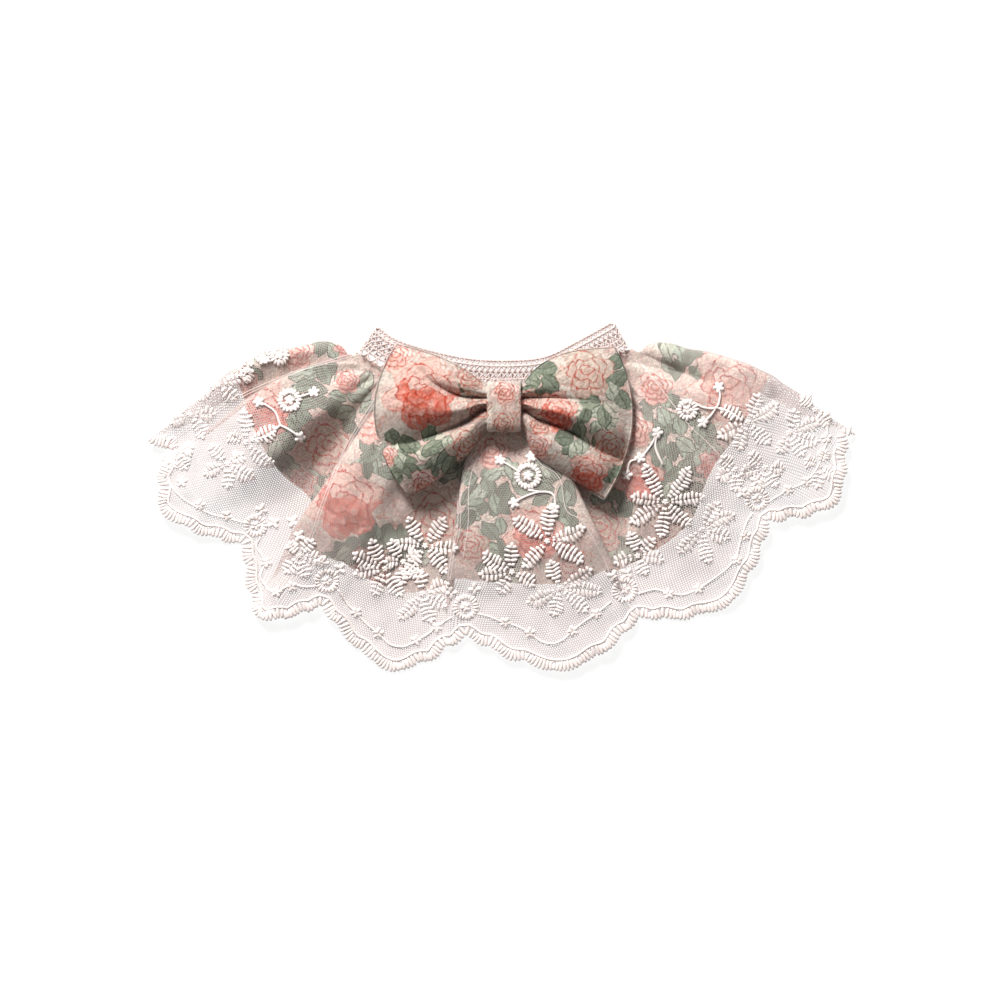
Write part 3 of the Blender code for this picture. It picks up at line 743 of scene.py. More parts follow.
BOW_BLOOMS = (
    (0, 424, 393, 17.0, ROSE), (0, 470, 376, 7.5, PEONY), (0, 396, 356, 8.0, PALE),
    (0, 478, 408, 6.5, PEONY), (0, 468, 446, 9.0, PEONY), (0, 385, 455, 6.0, PALE),
    (0, 425, 484, 7.0, PALE), (0, 586, 372, 12.5, PEONY), (0, 556, 412, 9.5, ROSE),
    (0, 610, 448, 9.0, PEONY), (0, 540, 425, 6.0, PEONY), (0, 587, 474, 9.5, ROSE),
    (0, 536, 446, 7.0, PALE), (0, 529, 402, 6.0, PEONY), (0, 505, 392, 6.0, PALE),
    (0, 504, 425, 6.5, PEONY),
)
BOW_LEAVES = (
    (0, 436, 456, 11.0), (0, 398, 462, 10.0), (0, 454, 384, 4.0), (0, 394, 442, 7.0),
    (0, 538, 376, 8.5), (0, 607, 393, 10.0), (0, 596, 412, 9.5), (0, 616, 362, 5.0),
    (0, 574, 442, 5.5), (0, 618, 470, 6.0), (0, 598, 452, 5.0), (0, 490, 418, 2.6),
)
PETAL_RINGS = (
    # radius, petals, notch depth, turn, width of its shade
    (1.00, 6.0, 0.24, 0.3, 0.34),
    (0.72, 5.0, 0.22, 1.1, 0.30),
    (0.46, 4.0, 0.20, 2.0, 0.24),
    (0.22, 3.0, 0.20, 0.6, 0.20),
)
BOW_GAIN = 0.87
UNDER_NET_LEAF = (0.68, 0.84, 0.81)
UNDER_NET_PAINTED_LIGHT = 1.36  # painted light: the print under the net is made brighter to make up for the shade the net casts on it
UNDER_NET_PEN = 1.75  # how much wider the drawn lines are there, to show through the net
GROUND = (0.59, 0.465, 0.42)
STAIN = (0.63, 0.56, 0.50)
TWIG = (0.55, 0.22, 0.17)
TWILL = (0.98, 1.3)  # mm between its ribs, and between the yarns across them
SPECK = (0.5, 0.95)  # mm, size of a yarn's stretch that takes more or less dye
SPECK_ANGLE = 0.9
PETAL_BEND = 0.62  # how far the petals stray, in radii of the flower
RIM_COLOURS = (
    (0.0, (0.69, 0.49, 0.43)),
    (0.25, (0.54, 0.455, 0.39)),
    (0.75, (0.74, 0.58, 0.53)),
)
BASE_COLOURS = (
    (0.0, (0.58, 0.10, 0.055)),
    (0.25, (0.54, 0.38, 0.32)),
    (0.75, (0.66, 0.36, 0.30)),
)
LINE_COLOURS = (
    (0.0, (0.44, 0.05, 0.03)),
    (0.25, (0.42, 0.08, 0.055)),
    (0.75, (0.44, 0.09, 0.065)),
)
LEAF_TONES = (
    (0.0, (0.145, 0.168, 0.122)),
    (0.34, (0.20, 0.235, 0.175)),
    (0.62, (0.40, 0.44, 0.35)),
    (0.88, (0.55, 0.53, 0.44)),
)
LEAF_LIGHTS = (
    (0.0, (0.23, 0.265, 0.20)),
    (0.34, (0.31, 0.345, 0.265)),
    (0.62, (0.52, 0.54, 0.45)),
    (0.88, (0.62, 0.58, 0.50)),
)
FLOWER_LINE = (0.13, 0.37)  # mm from a petal's edge to where its line fades and ends
LEAF_LINE = (0.05, 0.07, 0.045)
LEAF_RIM = (0.26, 0.52)  # mm from a leaf's edge to where its line fades and ends
LEAF_VEIN = (0.12, 0.30)  # and the same from its middle
LEAF_BEND = 1.8  # mm by which a leaf's outline strays
LEAF_LAYERS = ((6.6, 41.0), (7.8, 12.0))  # mm between leaves, and a seed
LEAF_LONG = 0.74  # half its length and width, as shares of the leaves' spacing
LEAF_FAT = 0.46


def nearest_bloom(g, point, blooms):
    """Place inside the nearest flower in its radii, how far out it is, its kind and radius."""
    found = None
    for panel, x, y, radius, kind in blooms:
        cx, cy = on_plan(x, y)
        cx += panel * PANEL_STEP
        scale = 1.0 / radius
        local = g.vector("MULTIPLY_ADD", point, (scale,) * 3, (-cx * scale, -cy * scale, 0.0))
        out = g.vector("LENGTH", local)
        if found is None:
            found = (local, out, kind, radius)
            continue
        closer = g.math("LESS_THAN", out, found[1])
        found = (
            g.either_vector(closer, found[0], local),
            g.math("MINIMUM", out, found[1]),
            g.either(closer, found[2], kind),
            g.either(closer, found[3], radius),
        )
    return found


def bloom_colour(g, local, kind, radius, pen):
    """A flower of petals in rings: its colour and where it lies."""
    blur = g.noise(local, 1.3, 4.0, 0.62)["Color"]
    half = -PETAL_BEND / 2
    shift = g.vector("MULTIPLY_ADD", blur, (PETAL_BEND, PETAL_BEND, 0.0), (half, half, 0.0))
    bent = g.vector("ADD", local, shift)
    x, y, _ = g.split(bent)
    out = g.vector("LENGTH", bent)
    turn = g.math("ARCTAN2", y, x)
    shade, line, mask, tone = None, None, None, None
    thin, thick = (g.math("DIVIDE", width * pen, radius) for width in FLOWER_LINE)
    for reach, petals, depth, start, width in PETAL_RINGS:
        place = g.math("MULTIPLY_ADD", turn, petals / (2 * math.pi), start)
        lobe = g.math("ABSOLUTE", g.math("SINE", g.math("MULTIPLY", place, math.pi)))
        edge = g.math("MULTIPLY_ADD", lobe, reach * depth, reach * (1 - depth))
        inside = g.math("SUBTRACT", edge, out)
        here = g.math("GREATER_THAN", inside, 0.0)
        petal = g.math("ADD", g.math("FLOOR", place), reach * 31.0)
        chance = g.node("TexWhiteNoise", {"W": petal}, noise_dimensions="1D").outputs[0]
        dark = g.step(inside, 0.0, width)
        rim = g.step(g.math("ABSOLUTE", inside), thin, thick, 1.0, 0.0)
        cleft = g.step(lobe, 0.04, 0.12, 1.0, 0.0)
        mark = g.math("MAXIMUM", rim, g.math("MULTIPLY", cleft, here))
        if mask is None:
            shade, line, mask, tone = dark, mark, here, chance
        else:
            shade = g.either(here, shade, dark)
            tone = g.either(here, tone, chance)
            line = g.math("MAXIMUM", g.either(here, line, mark), rim)
    streak = g.noise(g.vector("MULTIPLY", bent, (7.0, 4.0, 1.0)), 1.0)[0]
    # The lower petals are the ones more often filled with the dark tone
    below = g.step(y, -0.75, 0.45, 0.55, -0.15)
    filled = g.step(g.math("ADD", tone, below), 0.55, 0.66, 0.14, 1.0)
    shade = g.math("MULTIPLY", g.math("MULTIPLY_ADD", shade, 0.25, 0.75), filled)
    shade = g.math("MULTIPLY", shade, g.step(streak, 0.3, 0.55, 0.55, 1.0))
    rims, bases, lines = (
        g.ramp(kind, stops) for stops in (RIM_COLOURS, BASE_COLOURS, LINE_COLOURS)
    )
    colour = g.colour(shade, rims, bases)
    broken = g.step(streak, 0.34, 0.46, 0.6, 1.0)
    return g.colour(g.math("MULTIPLY", line, broken), colour, lines), mask


def draw_leaves(g, point, ground, leaves, spacing, seed, tint, pen):
    """One layer of whole leaves where the clusters are: ground colour in, both out."""
    place = g.vector("ADD", point, (seed, 2.7 * seed, 0.0))
    inputs = {"Vector": place, "Scale": 1 / spacing}
    cell = g.node("TexVoronoi", inputs, voronoi_dimensions="2D", feature="F1").outputs
    centre = g.vector("SUBTRACT", cell["Position"], (seed, 2.7 * seed, 0.0))
    cover = None
    for panel, x, y, radius in leaves:
        cx, cy = on_plan(x, y)
        away = g.vector("DISTANCE", centre, (cx + panel * PANEL_STEP, cy, 0.0))
        near = g.math("SUBTRACT", radius, away)
        cover = near if cover is None else g.math("MAXIMUM", cover, near)
    chance = g.split(cell["Color"])
    wobble = g.noise(point, 0.35)["Color"]
    half = -LEAF_BEND / 2
    bend = g.vector("MULTIPLY_ADD", wobble, (LEAF_BEND, LEAF_BEND, 0.0), (half, half, 0.0))
    local = g.vector("ADD", g.vector("SUBTRACT", point, centre), bend)
    x, y, _ = g.split(g.turn(local, g.math("MULTIPLY", chance[1], 2 * math.pi)))
    reach = g.math("ABSOLUTE", g.math("DIVIDE", x, spacing * LEAF_LONG))
    side = g.math("ABSOLUTE", y)
    fat = spacing * LEAF_FAT
    outline = g.math("MULTIPLY_ADD", g.math("POWER", reach, 2.0), -fat, fat)
    edge = g.math("SUBTRACT", outline, side)
    covered = g.math("GREATER_THAN", cover, 0.0)
    inside = g.math("MULTIPLY", g.math("GREATER_THAN", edge, 0.0), covered)
    colour = g.ramp(chance[0], LEAF_TONES)
    light = g.ramp(chance[0], LEAF_LIGHTS)
    colour = g.colour(g.step(y, -0.1, 0.1, 0.0, 0.5), colour, light)
    fine = g.noise(point, 1.1, 3.0, 0.6)[0]
    colour = g.colour(g.step(fine, 0.48, 0.62, 0.0, 0.6), colour, light)
    vein, rim = (
        g.step(far, low * pen, high * pen, strength, 0.0)
        for far, (low, high), strength in ((side, LEAF_VEIN, 0.75), (edge, LEAF_RIM, 0.95))
    )
    ribs = g.math("PINGPONG", g.math("MULTIPLY_ADD", side, 1.1, x), 0.75)
    vein = g.math("MAXIMUM", vein, g.step(ribs, 0.03, 0.11, 0.4, 0.0))
    colour = g.vector("MULTIPLY", colour, tint)
    colour = g.colour(g.math("MAXIMUM", vein, rim), colour, LEAF_LINE)
    return g.colour(inside, ground, colour)


def make_print(name, blooms, leaves, gain=1.0, leaf_tint=(1.0, 1.0, 1.0), pen=1.0):
    """Printed cotton: roses, peonies and sage leaves on a pale pink twill."""
    g = Graph(name)
    point = g.cloth()
    stain = g.noise(point, 0.08)[0]
    ground = g.colour(g.step(stain, 0.4, 0.62), GROUND, STAIN)
    curl = g.math("ABSOLUTE", g.math("SUBTRACT", g.noise(point, 0.11)[0], 0.5))
    ground = g.colour(g.step(curl, 0.006, 0.014, 0.75, 0.0), ground, TWIG)
    for spacing, seed in LEAF_LAYERS:
        ground = draw_leaves(g, point, ground, leaves, spacing, seed, leaf_tint, pen)
    local, _, kind, radius = nearest_bloom(g, point, blooms)
    flower, mask = bloom_colour(g, local, kind, radius, pen)
    colour = g.colour(mask, ground, flower)
    x, y, _ = g.split(point)
    ribs, yarns = (
        g.math("SINE", g.math("MULTIPLY", g.math(way, x, y), 2 * math.pi / pitch))
        for way, pitch in zip(("ADD", "SUBTRACT"), TWILL)
    )
    weave = g.math("MULTIPLY_ADD", g.math("MULTIPLY", ribs, yarns), 0.5, ribs)
    grain = g.noise(point, 2.6, 2.0, 0.7)[0]
    yarn = g.vector("SNAP", g.turn(point, SPECK_ANGLE), (*SPECK, 1.0))
    speck = g.node("TexWhiteNoise", {"Vector": yarn}, noise_dimensions="3D").outputs[0]
    # Where the print lies under the net, gain is painted light that brightens it against the net's
    # shade
    tint = g.math("MULTIPLY_ADD", weave, 0.14 * gain, 0.97 * gain)
    tint = g.math("MULTIPLY", tint, g.step(grain, 0.34, 0.60, 0.62, 1.12))
    tint = g.math("MULTIPLY", tint, g.step(speck, 0.0, 1.0, 0.71, 1.2))
    tints = g.node("CombineXYZ", {0: tint, 1: tint, 2: tint}).outputs[0]
    return g.surface(
        Base_Color=g.vector("MULTIPLY", colour, tints),
        Normal=g.bump(weave, 0.25, 0.00012),
        Roughness=0.86,
        Specular_IOR_Level=0.2,
        Sheen_Weight=0.12,
    )


def make_net():
    """Tulle: a mesh of six-sided holes."""
    g = Graph("tulle net")
    point = g.vector("MULTIPLY", g.cloth(), (1 / NET_PITCH, 1 / NET_PITCH, 0.0))
    tall = math.sqrt(0.75)
    reaches = []
    for start in (0.0, 0.5):
        shifted = g.vector("ADD", point, (start, start * 2 * tall, 0.0))
        cell = g.vector("WRAP", shifted, (0.5, tall, 1.0), (-0.5, -tall, 0.0))
        side = g.vector("ABSOLUTE", cell)
        slant = g.vector("DOT_PRODUCT", side, (0.5, tall, 0.0))
        reaches.append(g.math("MAXIMUM", g.split(side)[0], slant))
    edge = g.math("SUBTRACT", 0.5, g.math("MINIMUM", *reaches))
    # Where the net hangs double at the printed cloth's edge its threads lie closer
    below = g.split(g.cloth("edge"))[0]
    above, under = NET_DOUBLE_FROM, NET_DOUBLE_TO
    double = g.math("MINIMUM", g.step(below, *above), g.step(below, *under, 1.0, 0.0))
    thick = g.math("MULTIPLY_ADD", double, NET_DOUBLE, NET_THREAD)
    threads = g.step(edge, thick, g.math("ADD", thick, NET_SOFT), 1.0, 0.0)
    tone = g.colour(g.step(below, -4.0, 4.0), NET_OVER_PRINT, NET_OVER_FLOOR)
    return g.surface(Base_Color=tone, Roughness=0.8, Specular_IOR_Level=0.2, Alpha=threads)


def make_thread(name, colour):
    """Cotton thread: fine strands along it and a little fuzz."""
    g = Graph(name)
    place = g.node("TexCoord", {}).outputs["Object"]
    grain, patch = (
        g.node("TexNoise", {"Vector": place, "Scale": scale, "Detail": 2.0}).outputs[0]
        for scale in (THREAD_GRAIN, THREAD_PATCH)
    )
    tone = g.colour(g.step(patch, 0.35, 0.65), colour, tuple(0.94 * c for c in colour))
    return g.surface(
        Base_Color=tone,
        Normal=g.bump(grain, 0.35, 0.00015),
        Roughness=0.7,
        Specular_IOR_Level=0.25,
        Sheen_Weight=0.15,
    )


def make_floor_material():
    return Graph("studio_floor").surface(
        Base_Color=FLOOR_COLOUR,
        Roughness=0.9,
        Specular_IOR_Level=0.0,
        Emission_Color=(1.0, 1.0, 1.0),
        Emission_Strength=FLOOR_GLOW,
    )


# Thread work: satin stitches are small rounded bars, cords are tubes

BAR_SIDES = 6
BAR_ENDS = (-0.5, 0.5)
BAR_RINGS = ((-0.43, 0.62), (-0.25, 0.97), (0.25, 0.97), (0.43, 0.62))
TUBE_SIDES = 6


def capped_faces(rings, sides, closed=False):
    """Faces of a strand of so many rings; unless it is closed, its two end points come last."""
    faces = grid_faces(rings, sides, closed, wrapped=True)
    if closed:
        return faces
    total, last = rings * sides, (rings - 1) * sides
    k = np.arange(sides)
    n = (k + 1) % sides
    caps = ((total + 0 * k, n, k, k), (total + 1 + 0 * k, last + k, last + n, last + n))
    return np.vstack([faces, np.array(caps).transpose(2, 0, 1).reshape(-1, 4)])


def bar_arrays(centres, along, upward, lengths, widths, heights):
    """Points and faces of many small rounded bars."""
    along = unit(along)
    across = unit(np.cross(upward, along))
    upward = np.cross(along, across)
    template = []
    for place, fat in BAR_RINGS:
        for side in range(BAR_SIDES):
            angle = 2 * math.pi * side / BAR_SIDES
            template.append((place, fat * math.cos(angle) / 2, fat * math.sin(angle) / 2))
    template = np.array(template + [(place, 0.0, 0.0) for place in BAR_ENDS])
    faces = capped_faces(len(BAR_RINGS), BAR_SIDES)
    points = centres[:, None]
    for axis, (way, size) in enumerate(((along, lengths), (across, widths), (upward, heights))):
        points = points + way[:, None] * (template[None, :, axis] * size[:, None])[..., None]
    start = np.arange(len(centres))[:, None, None] * len(template)
    return points.reshape(-1, 3), (faces[None] + start).reshape(-1, 4)


def tube_arrays(path, radius, closed=False):
    """Points and faces of a round strand along a path."""
    path = np.asarray(path, float)
    if closed:
        tangent = unit(np.roll(path, -1, 0) - np.roll(path, 1, 0))
    else:
        tangent = unit(np.gradient(path, axis=0))
    side = unit(np.cross(tangent, UP))
    other = np.cross(side, tangent)
    angle = (2 * np.pi * np.arange(TUBE_SIDES) / TUBE_SIDES)[None, :, None]
    ring = side[:, None] * np.cos(angle) + other[:, None] * np.sin(angle)
    points = (path[:, None] + ring * radius).reshape(-1, 3)
    if not closed:
        points = np.vstack([points, path[:1], path[-1:]])
    return points, capped_faces(len(path), TUBE_SIDES, closed)


def join_arrays(parts):
    points, faces, start = [], [], 0
    for part_points, part_faces in parts:
        points.append(part_points)
        faces.append(part_faces + start)
        start += len(part_points)
    return np.vstack(points), np.vstack(faces)


def clean_faces(faces):
    """Quads whose last two corners are one point become triangles."""
    return [tuple(f[:3]) if f[2] == f[3] else tuple(f) for f in faces.tolist()]


# The pieces


def ring_sizes():
    """The band's length, the share its fold takes at each end, and the straight part."""
    length = band_length()
    end = (RING_RADIUS + BAND_WALL / 2) / length
    return length, end, length * (1 - 2 * end)


def ring_point(run, down, rise=0.0):
    """Points of the flattened neckband: run goes once round it, down starts at its top."""
    length, end, straight = ring_sizes()
    bend = np.pi * RING_RADIUS
    run = np.asarray(run, float) % (2 * (straight + bend))
    turned = np.clip((run - straight) / bend, 0, 1)
    turned = np.where(run > 2 * straight + bend, 1 - (run - 2 * straight - bend) / bend, turned)
    share = np.where(run <= straight, end + run / length, 1 - end)
    backwards = run - straight - bend
    share = np.where(backwards > 0, 1 - end - backwards / length, share)
    share = np.clip(share, end, 1 - end)
    outwards = RING_RADIUS * np.sin(np.pi * turned) / length
    share = share + np.where(share > 0.5, outwards, -outwards)
    full = FRONT_DROP[1] - FRONT_DROP[0]
    drop = FRONT_DROP[0] * (1 - turned) + BACK_DROP[0] * turned
    width = full * (1 - turned) + (BACK_DROP[1] - BACK_DROP[0]) * turned
    plan = band_points(share, drop + np.asarray(down) * width / full)
    height = BAND_WALL / 2 + RING_RADIUS + (RING_RADIUS + rise) * np.cos(np.pi * turned)
    return np.column_stack([plan, height + 0 * plan[:, 0]])


def diamonds(steps):
    """Strands of one mesh: how far along in pitches, how far down and how high."""
    wave = 0.16 * np.cos(2 * np.pi * steps * 2.0)
    return [(way * (steps - 0.5) * 2.0, steps, way * wave) for way in (1, -1)]


def bars(steps):
    return [(0 * steps, steps, 0.1 * np.sin(np.pi * steps))]


def arches(steps):
    return [(steps, np.sin(np.pi * steps) ** 0.6, 0.12 * np.sin(np.pi * steps))]


LATTICE = (
    # from and to in mm below the upper edge, pitch, strand's radius, points, shape
    (0.5, 6.3, 2.4, 0.34, 9, diamonds),
    (6.3, 9.0, 1.6, 0.42, 5, bars),
    (9.0, 12.0, 3.0, 0.40, 13, arches),
)


def make_neckband(material):
    """Crocheted lattice: cords, a mesh of diamonds, a row of bars and small arches."""
    length = 2 * (ring_sizes()[2] + np.pi * RING_RADIUS)
    strands = []
    along = np.linspace(0, length, BAND_STEPS, endpoint=False)
    for down, radius, wave in BAND_CORDS:
        turns = 2 * np.pi * along / (length / round(length / wave))
        path = ring_point(along, down + CORD_WAVE * np.sin(turns), CORD_RISE * np.sin(turns + down))
        strands.append(tube_arrays(path, radius, closed=True))
    for top, bottom, pitch, radius, steps, shape in LATTICE:
        count = round(length / pitch)
        pitch = length / count
        for n in range(count):
            for run, down, rise in shape(np.linspace(0, 1, steps)):
                path = ring_point((n + run) * pitch, top + (bottom - top) * down, rise)
                strands.append(tube_arrays(path, radius))
    points, faces = join_arrays(strands)
    points[:, 2] = np.maximum(points[:, 2], 0.0)
    faces = clean_faces(faces)
    return add_mesh("neckband_crochet", points, faces, material, ["neckband"])


def ruffle_sheets(print_material, net_material):
    """The printed cloth, and the net over it."""
    stations = hem_stations()
    rows = np.tile(np.linspace(ROW_START, 1.0, LACE_ROWS), (len(stations), 1))
    surface, lace_places = ruffle_surface(stations, rows)
    beyond = rows[0][None, :] - fold_column(6, lace_places)[:, None]
    lift = LACE_LOW + (LACE_TOP - LACE_LOW) * (1 - smooth(0.0, LACE_FALL, beyond))
    lace = surface + grid_normals(surface) * lift[..., None]
    lace[..., 2] = np.maximum(lace[..., 2], LACE_FLOOR)
    ends = fold_column(6, stations)[:, None]
    rows = ROW_START + (ends - ROW_START) * np.linspace(0, 1, FLORAL_ROWS)[None, :]
    surface, places = ruffle_surface(stations, rows)
    cloth = surface + grid_normals(surface) * FLORAL_TOP
    cloth[..., 2] = np.maximum(cloth[..., 2], FLORAL_FLOOR)
    faces = grid_faces(*cloth.shape[:2])
    uv = panel_uv(cloth, faces, places)
    floral = add_mesh(
        "printed_ruffle", cloth, faces, print_material, ["floral_ruffle"], uv
    )
    faces = grid_faces(*lace.shape[:2])
    uv = strip_uv(lace, faces, lace_places)
    net = add_mesh("net_ruffle", lace, faces, net_material, ["lace_ruffle"], uv)
    # A second layer says how far each point lies below the printed cloth's edge, in mm
    below = RUFFLE_DEEP * beyond.ravel()[faces]
    layer = net.data.uv_layers.new(name="edge")
    layer.data.foreach_set("uv", np.stack([below, 0 * below], -1).astype(np.float32).ravel())
    return floral, net, lace


def strip_uv(grid, faces, places):
    """Places on the net itself, so that its mesh shows closer where the net stands up."""
    rows = grid.shape[1]
    across = np.linalg.norm(np.diff(grid, axis=0), axis=2)
    run = np.vstack([np.zeros(rows), np.cumsum(across, axis=0)])
    down = np.linalg.norm(np.diff(grid, axis=1), axis=2)
    fall = np.hstack([np.zeros((len(grid), 1)), np.cumsum(down, axis=1)])
    edges = [places[0] - 1, *PANEL_EDGES, places[-1] + 1]
    column = faces // rows
    panel = np.searchsorted(PANEL_EDGES, places[column].mean(axis=1))
    middles = []
    for low, high in zip(edges[:-1], edges[1:]):
        inside = np.flatnonzero((places > low) & (places <= high))
        middles.append(run[inside[len(inside) // 2]])
    middles = np.array(middles)
    row = faces % rows
    u = run[column, row] - middles[panel[:, None], row] + panel[:, None] * NET_PANEL_STEP
    return np.stack([u, fall[column, row]], -1)


def loop_grid(table, bulge, columns, rows):
    """Top of a bow loop and its underside, with its creases and a line near its edge."""
    table = np.array(table)
    at = np.linspace(0, 1, columns)
    places = np.linspace(0, 1, len(table))
    sections = np.column_stack([steady(places, column, at) for column in table.T])
    across = np.linspace(0, 1, rows)
    round_off = (1 - np.abs(2 * across - 1) ** LOOP_ROUND) ** LOOP_POWER
    top, under = [], []
    for out, row in zip(at, sections):
        low, high = row[0:2], row[2:4]
        plan = low + (high - low) * across[:, None]
        plan[:, 0] += bulge * out**2 * 4 * across * (1 - across)
        rim = row[4] + (row[5] - row[4]) * across
        crown = (row[6] - rim) * round_off
        main = (row[7] - row[9]) / 2
        for away, lobe, depth in (
            (across - row[7], (1 - row[7]) / 2, row[8] * CREASE_DEPTH[0]),
            (row[9] - across, row[9] / 2, row[10] * CREASE_DEPTH[1]),
        ):
            steep, soft = (
                (1 - np.clip(share, 0, 1) ** power) ** last
                for share, (power, last) in zip((away / lobe, -away / main), CREASE_POWERS)
            )
            crown = crown - depth * np.where(away > 0, steep, soft) * round_off
        ridges = np.sin(2 * np.pi * (across * RIDGES + 0.8 * out + 0.4 * np.sin(9 * across)))
        fade = (1 - smooth(*RIDGE_FADE, out)) * round_off
        crown = crown + RIDGE_HEIGHT * ridges * fade
        soft = np.sin(2.2 * np.pi * out + 5.0 * across + bulge) * np.sin(7.0 * across + 2.0 * out)
        crown = crown + DIMPLE_HEIGHT * soft * round_off * smooth(*DIMPLE_FROM, out)
        edge = np.minimum(across, 1 - across) * np.linalg.norm(high - low)
        edge = np.minimum(edge, (1 - out) * LOOP_SPAN)
        near = np.exp(-(((edge - SEAM_LINE[0]) / SEAM_LINE[1]) ** 2))
        height = np.maximum(rim + crown - SEAM_LINE[2] * near, LOOP_BASE + RIM)
        base = np.maximum(LOOP_BASE, rim - RIM - LOOP_SAG * round_off)
        top.append(np.column_stack([plan, height]))
        under.append(np.column_stack([plan, base]))
    return np.array(top), np.array(under)


def pillow_arrays(top, under):
    """A closed shape from two grids with a rounded, grooved edge, and the print on it."""
    columns, rows = top.shape[:2]
    count = columns * rows
    edge = [(i, 0) for i in range(columns)]
    edge += [(columns - 1, k) for k in range(1, rows)]
    edge += [(i, rows - 1) for i in range(columns - 2, -1, -1)]
    edge += [(0, k) for k in range(rows - 2, 0, -1)]
    index = np.array([i * rows + k for i, k in edge])
    high, low = (grid.reshape(-1, 3)[index] for grid in (top, under))
    along = np.roll(high, -1, 0) - np.roll(high, 1, 0)
    out = unit(np.column_stack([along[:, 1], -along[:, 0], 0 * along[:, 0]]))
    if ((high - top.reshape(-1, 3).mean(0)) * out).sum() < 0:
        out = -out
    # The print runs on down the edge, as if the cloth were laid out flat
    rings, prints = [], [high[:, :2]]
    tall = (high - low)[:, 2:]
    for share, outwards in EDGE_PROFILE:
        rings.append(high + (low - high) * share + out * outwards)
        prints.append((high + out * (share * tall + EDGE_PRINT))[:, :2])
    prints.append((high + out * (tall + EDGE_PRINT))[:, :2])
    points = np.vstack([top.reshape(-1, 3), under.reshape(-1, 3), *rings])
    flat = grid_faces(columns, rows)
    faces = [flat[:, ::-1], flat + count]
    uv = [points[part][..., :2] for part in faces]
    levels = [2 * count + n * len(edge) + np.arange(len(edge)) for n in range(len(rings))]
    levels = [index, *levels, index + count]
    for upper, lower, above, below in zip(levels[:-1], levels[1:], prints[:-1], prints[1:]):
        faces.append(np.stack([upper, np.roll(upper, -1), np.roll(lower, -1), lower], -1))
        uv.append(np.stack([above, np.roll(above, -1, 0), np.roll(below, -1, 0), below], 1))
    return points, np.vstack(faces), np.vstack(uv)


def make_bow(material):
    pieces = []
    for side, table, bulge in LOOPS:
        points, faces, uv = pillow_arrays(*loop_grid(table, bulge, *LOOP_GRID))
        if side == "left":
            faces, uv = faces[:, ::-1], uv[:, ::-1]
        node = "bow_loop_" + side
        piece = add_mesh("bow_cloth_" + side, points, faces, material, [node], uv)
        pieces.append(piece)
    return pieces


def make_knot(material):
    """The band of cloth round the bow's middle, a little puckered."""
    (middle_y, half_y), (middle_z, half_z) = (
        ((low + high) / 2, (high - low) / 2) for low, high in (KNOT_Y, KNOT_Z)
    )
    angle = np.linspace(0, 2 * np.pi, KNOT_SIDES, endpoint=False)[:, None]
    across = np.linspace(0, 1, KNOT_STEPS)
    share = np.concatenate([across, across[::-1]])  # over the outside, then back inside
    inside = np.repeat([0, 1], KNOT_STEPS)
    cy, cz = (np.sign(w) * np.abs(w) ** (2 / KNOT_POWER) for w in (np.cos(angle), np.sin(angle)))
    middle = np.sin(np.pi * share)
    pucker = KNOT_PUCKER * np.sin(share * 19.0 + 1.5 * np.sin(angle * 2)) * middle
    inset = KNOT_WALL * inside + KNOT_ROUND * (1 - middle**0.35) - pucker * (1 - inside)
    waist = KNOT_WAIST * middle * np.abs(cy) ** 3
    x = KNOT_X[0] + (KNOT_X[1] - KNOT_X[0]) * share
    y = middle_y + (half_y - inset - waist) * cy
    grid = np.stack(np.broadcast_arrays(x, y, middle_z + (half_z - inset) * cz), -1)
    faces = grid_faces(*grid.shape[:2], closed=True, wrapped=True)
    points = grid.reshape(-1, 3)
    # The print runs on down the knot's sides, measured round the section from its top
    around = grid[:, KNOT_STEPS // 2, 1:]
    run = run_along(np.vstack([around, around[:1]]))
    top = KNOT_SIDES // 4
    down = run[top] - run[:-1]
    down = np.where(np.arange(KNOT_SIDES) > 3 * top, down + run[-1], down)
    place = np.repeat(middle_y + down, len(share))
    uv = np.stack([points[faces][..., 0], place[faces]], -1)
    return add_mesh("bow_knot_band", points, faces, material, ["bow_knot"], uv)


class Cloth:
    """The net's face, felt from above."""

    def __init__(self, grid):
        faces = grid_faces(*grid.shape[:2])
        self.tree = BVHTree.FromPolygons(grid.reshape(-1, 3).tolist(), faces.tolist())

    def height(self, x, y):
        hit = self.tree.ray_cast((x, y, 100.0), (0, 0, -1))[0]
        return None if hit is None else hit.z

    def lay(self, plan, lift=0.0):
        """Points on the cloth over these places; one that misses it stays as high as the last."""
        heights = [self.height(x, y) for x, y in plan]
        last = min((h for h in heights if h is not None), default=1.0)
        out = []
        for (x, y), h in zip(plan, heights):
            last = h if h is not None else last
            out.append((x, y, last + lift))
        return np.array(out)


class Stitches:
    """Satin stitches gathered up, to be made into one mesh."""

    def __init__(self, cloth):
        self.cloth = cloth
        self.rows = []

    def add(self, x, y, angle, length, wide=STITCH):
        reach = 0.42 * length
        dx, dy = math.cos(angle), math.sin(angle)
        first, middle, last = (
            self.cloth.height(x + side * reach * dx, y + side * reach * dy) for side in (-1, 0, 1)
        )
        if middle is None:
            middle = first if first is not None else last
        if middle is None:
            return
        first, last = (h if h is not None else middle for h in (first, last))
        rise = np.clip((last - first) / (2 * reach), -1.5, 1.5)
        level = max(middle, (first + last) / 2) + STITCH_LIFT
        self.rows.append((x, y, level, dx, dy, rise, length, wide))

    def star(self, x, y, size, petals, wide, turn):
        for n in range(petals):
            angle = turn + 2 * math.pi * n / petals
            away = size * 0.46
            self.add(x + away * math.cos(angle), y + away * math.sin(angle), angle, size, wide)

    def make(self, name, material):
        rows = np.array(self.rows)
        wide = rows[:, 7]
        tall = np.minimum(wide, 1.5) * 0.8
        upward = np.tile(UP, (len(rows), 1))
        points, faces = bar_arrays(rows[:, :3], rows[:, 3:6], upward, rows[:, 6], wide, tall)
        return add_mesh(name, points, clean_faces(faces), material)


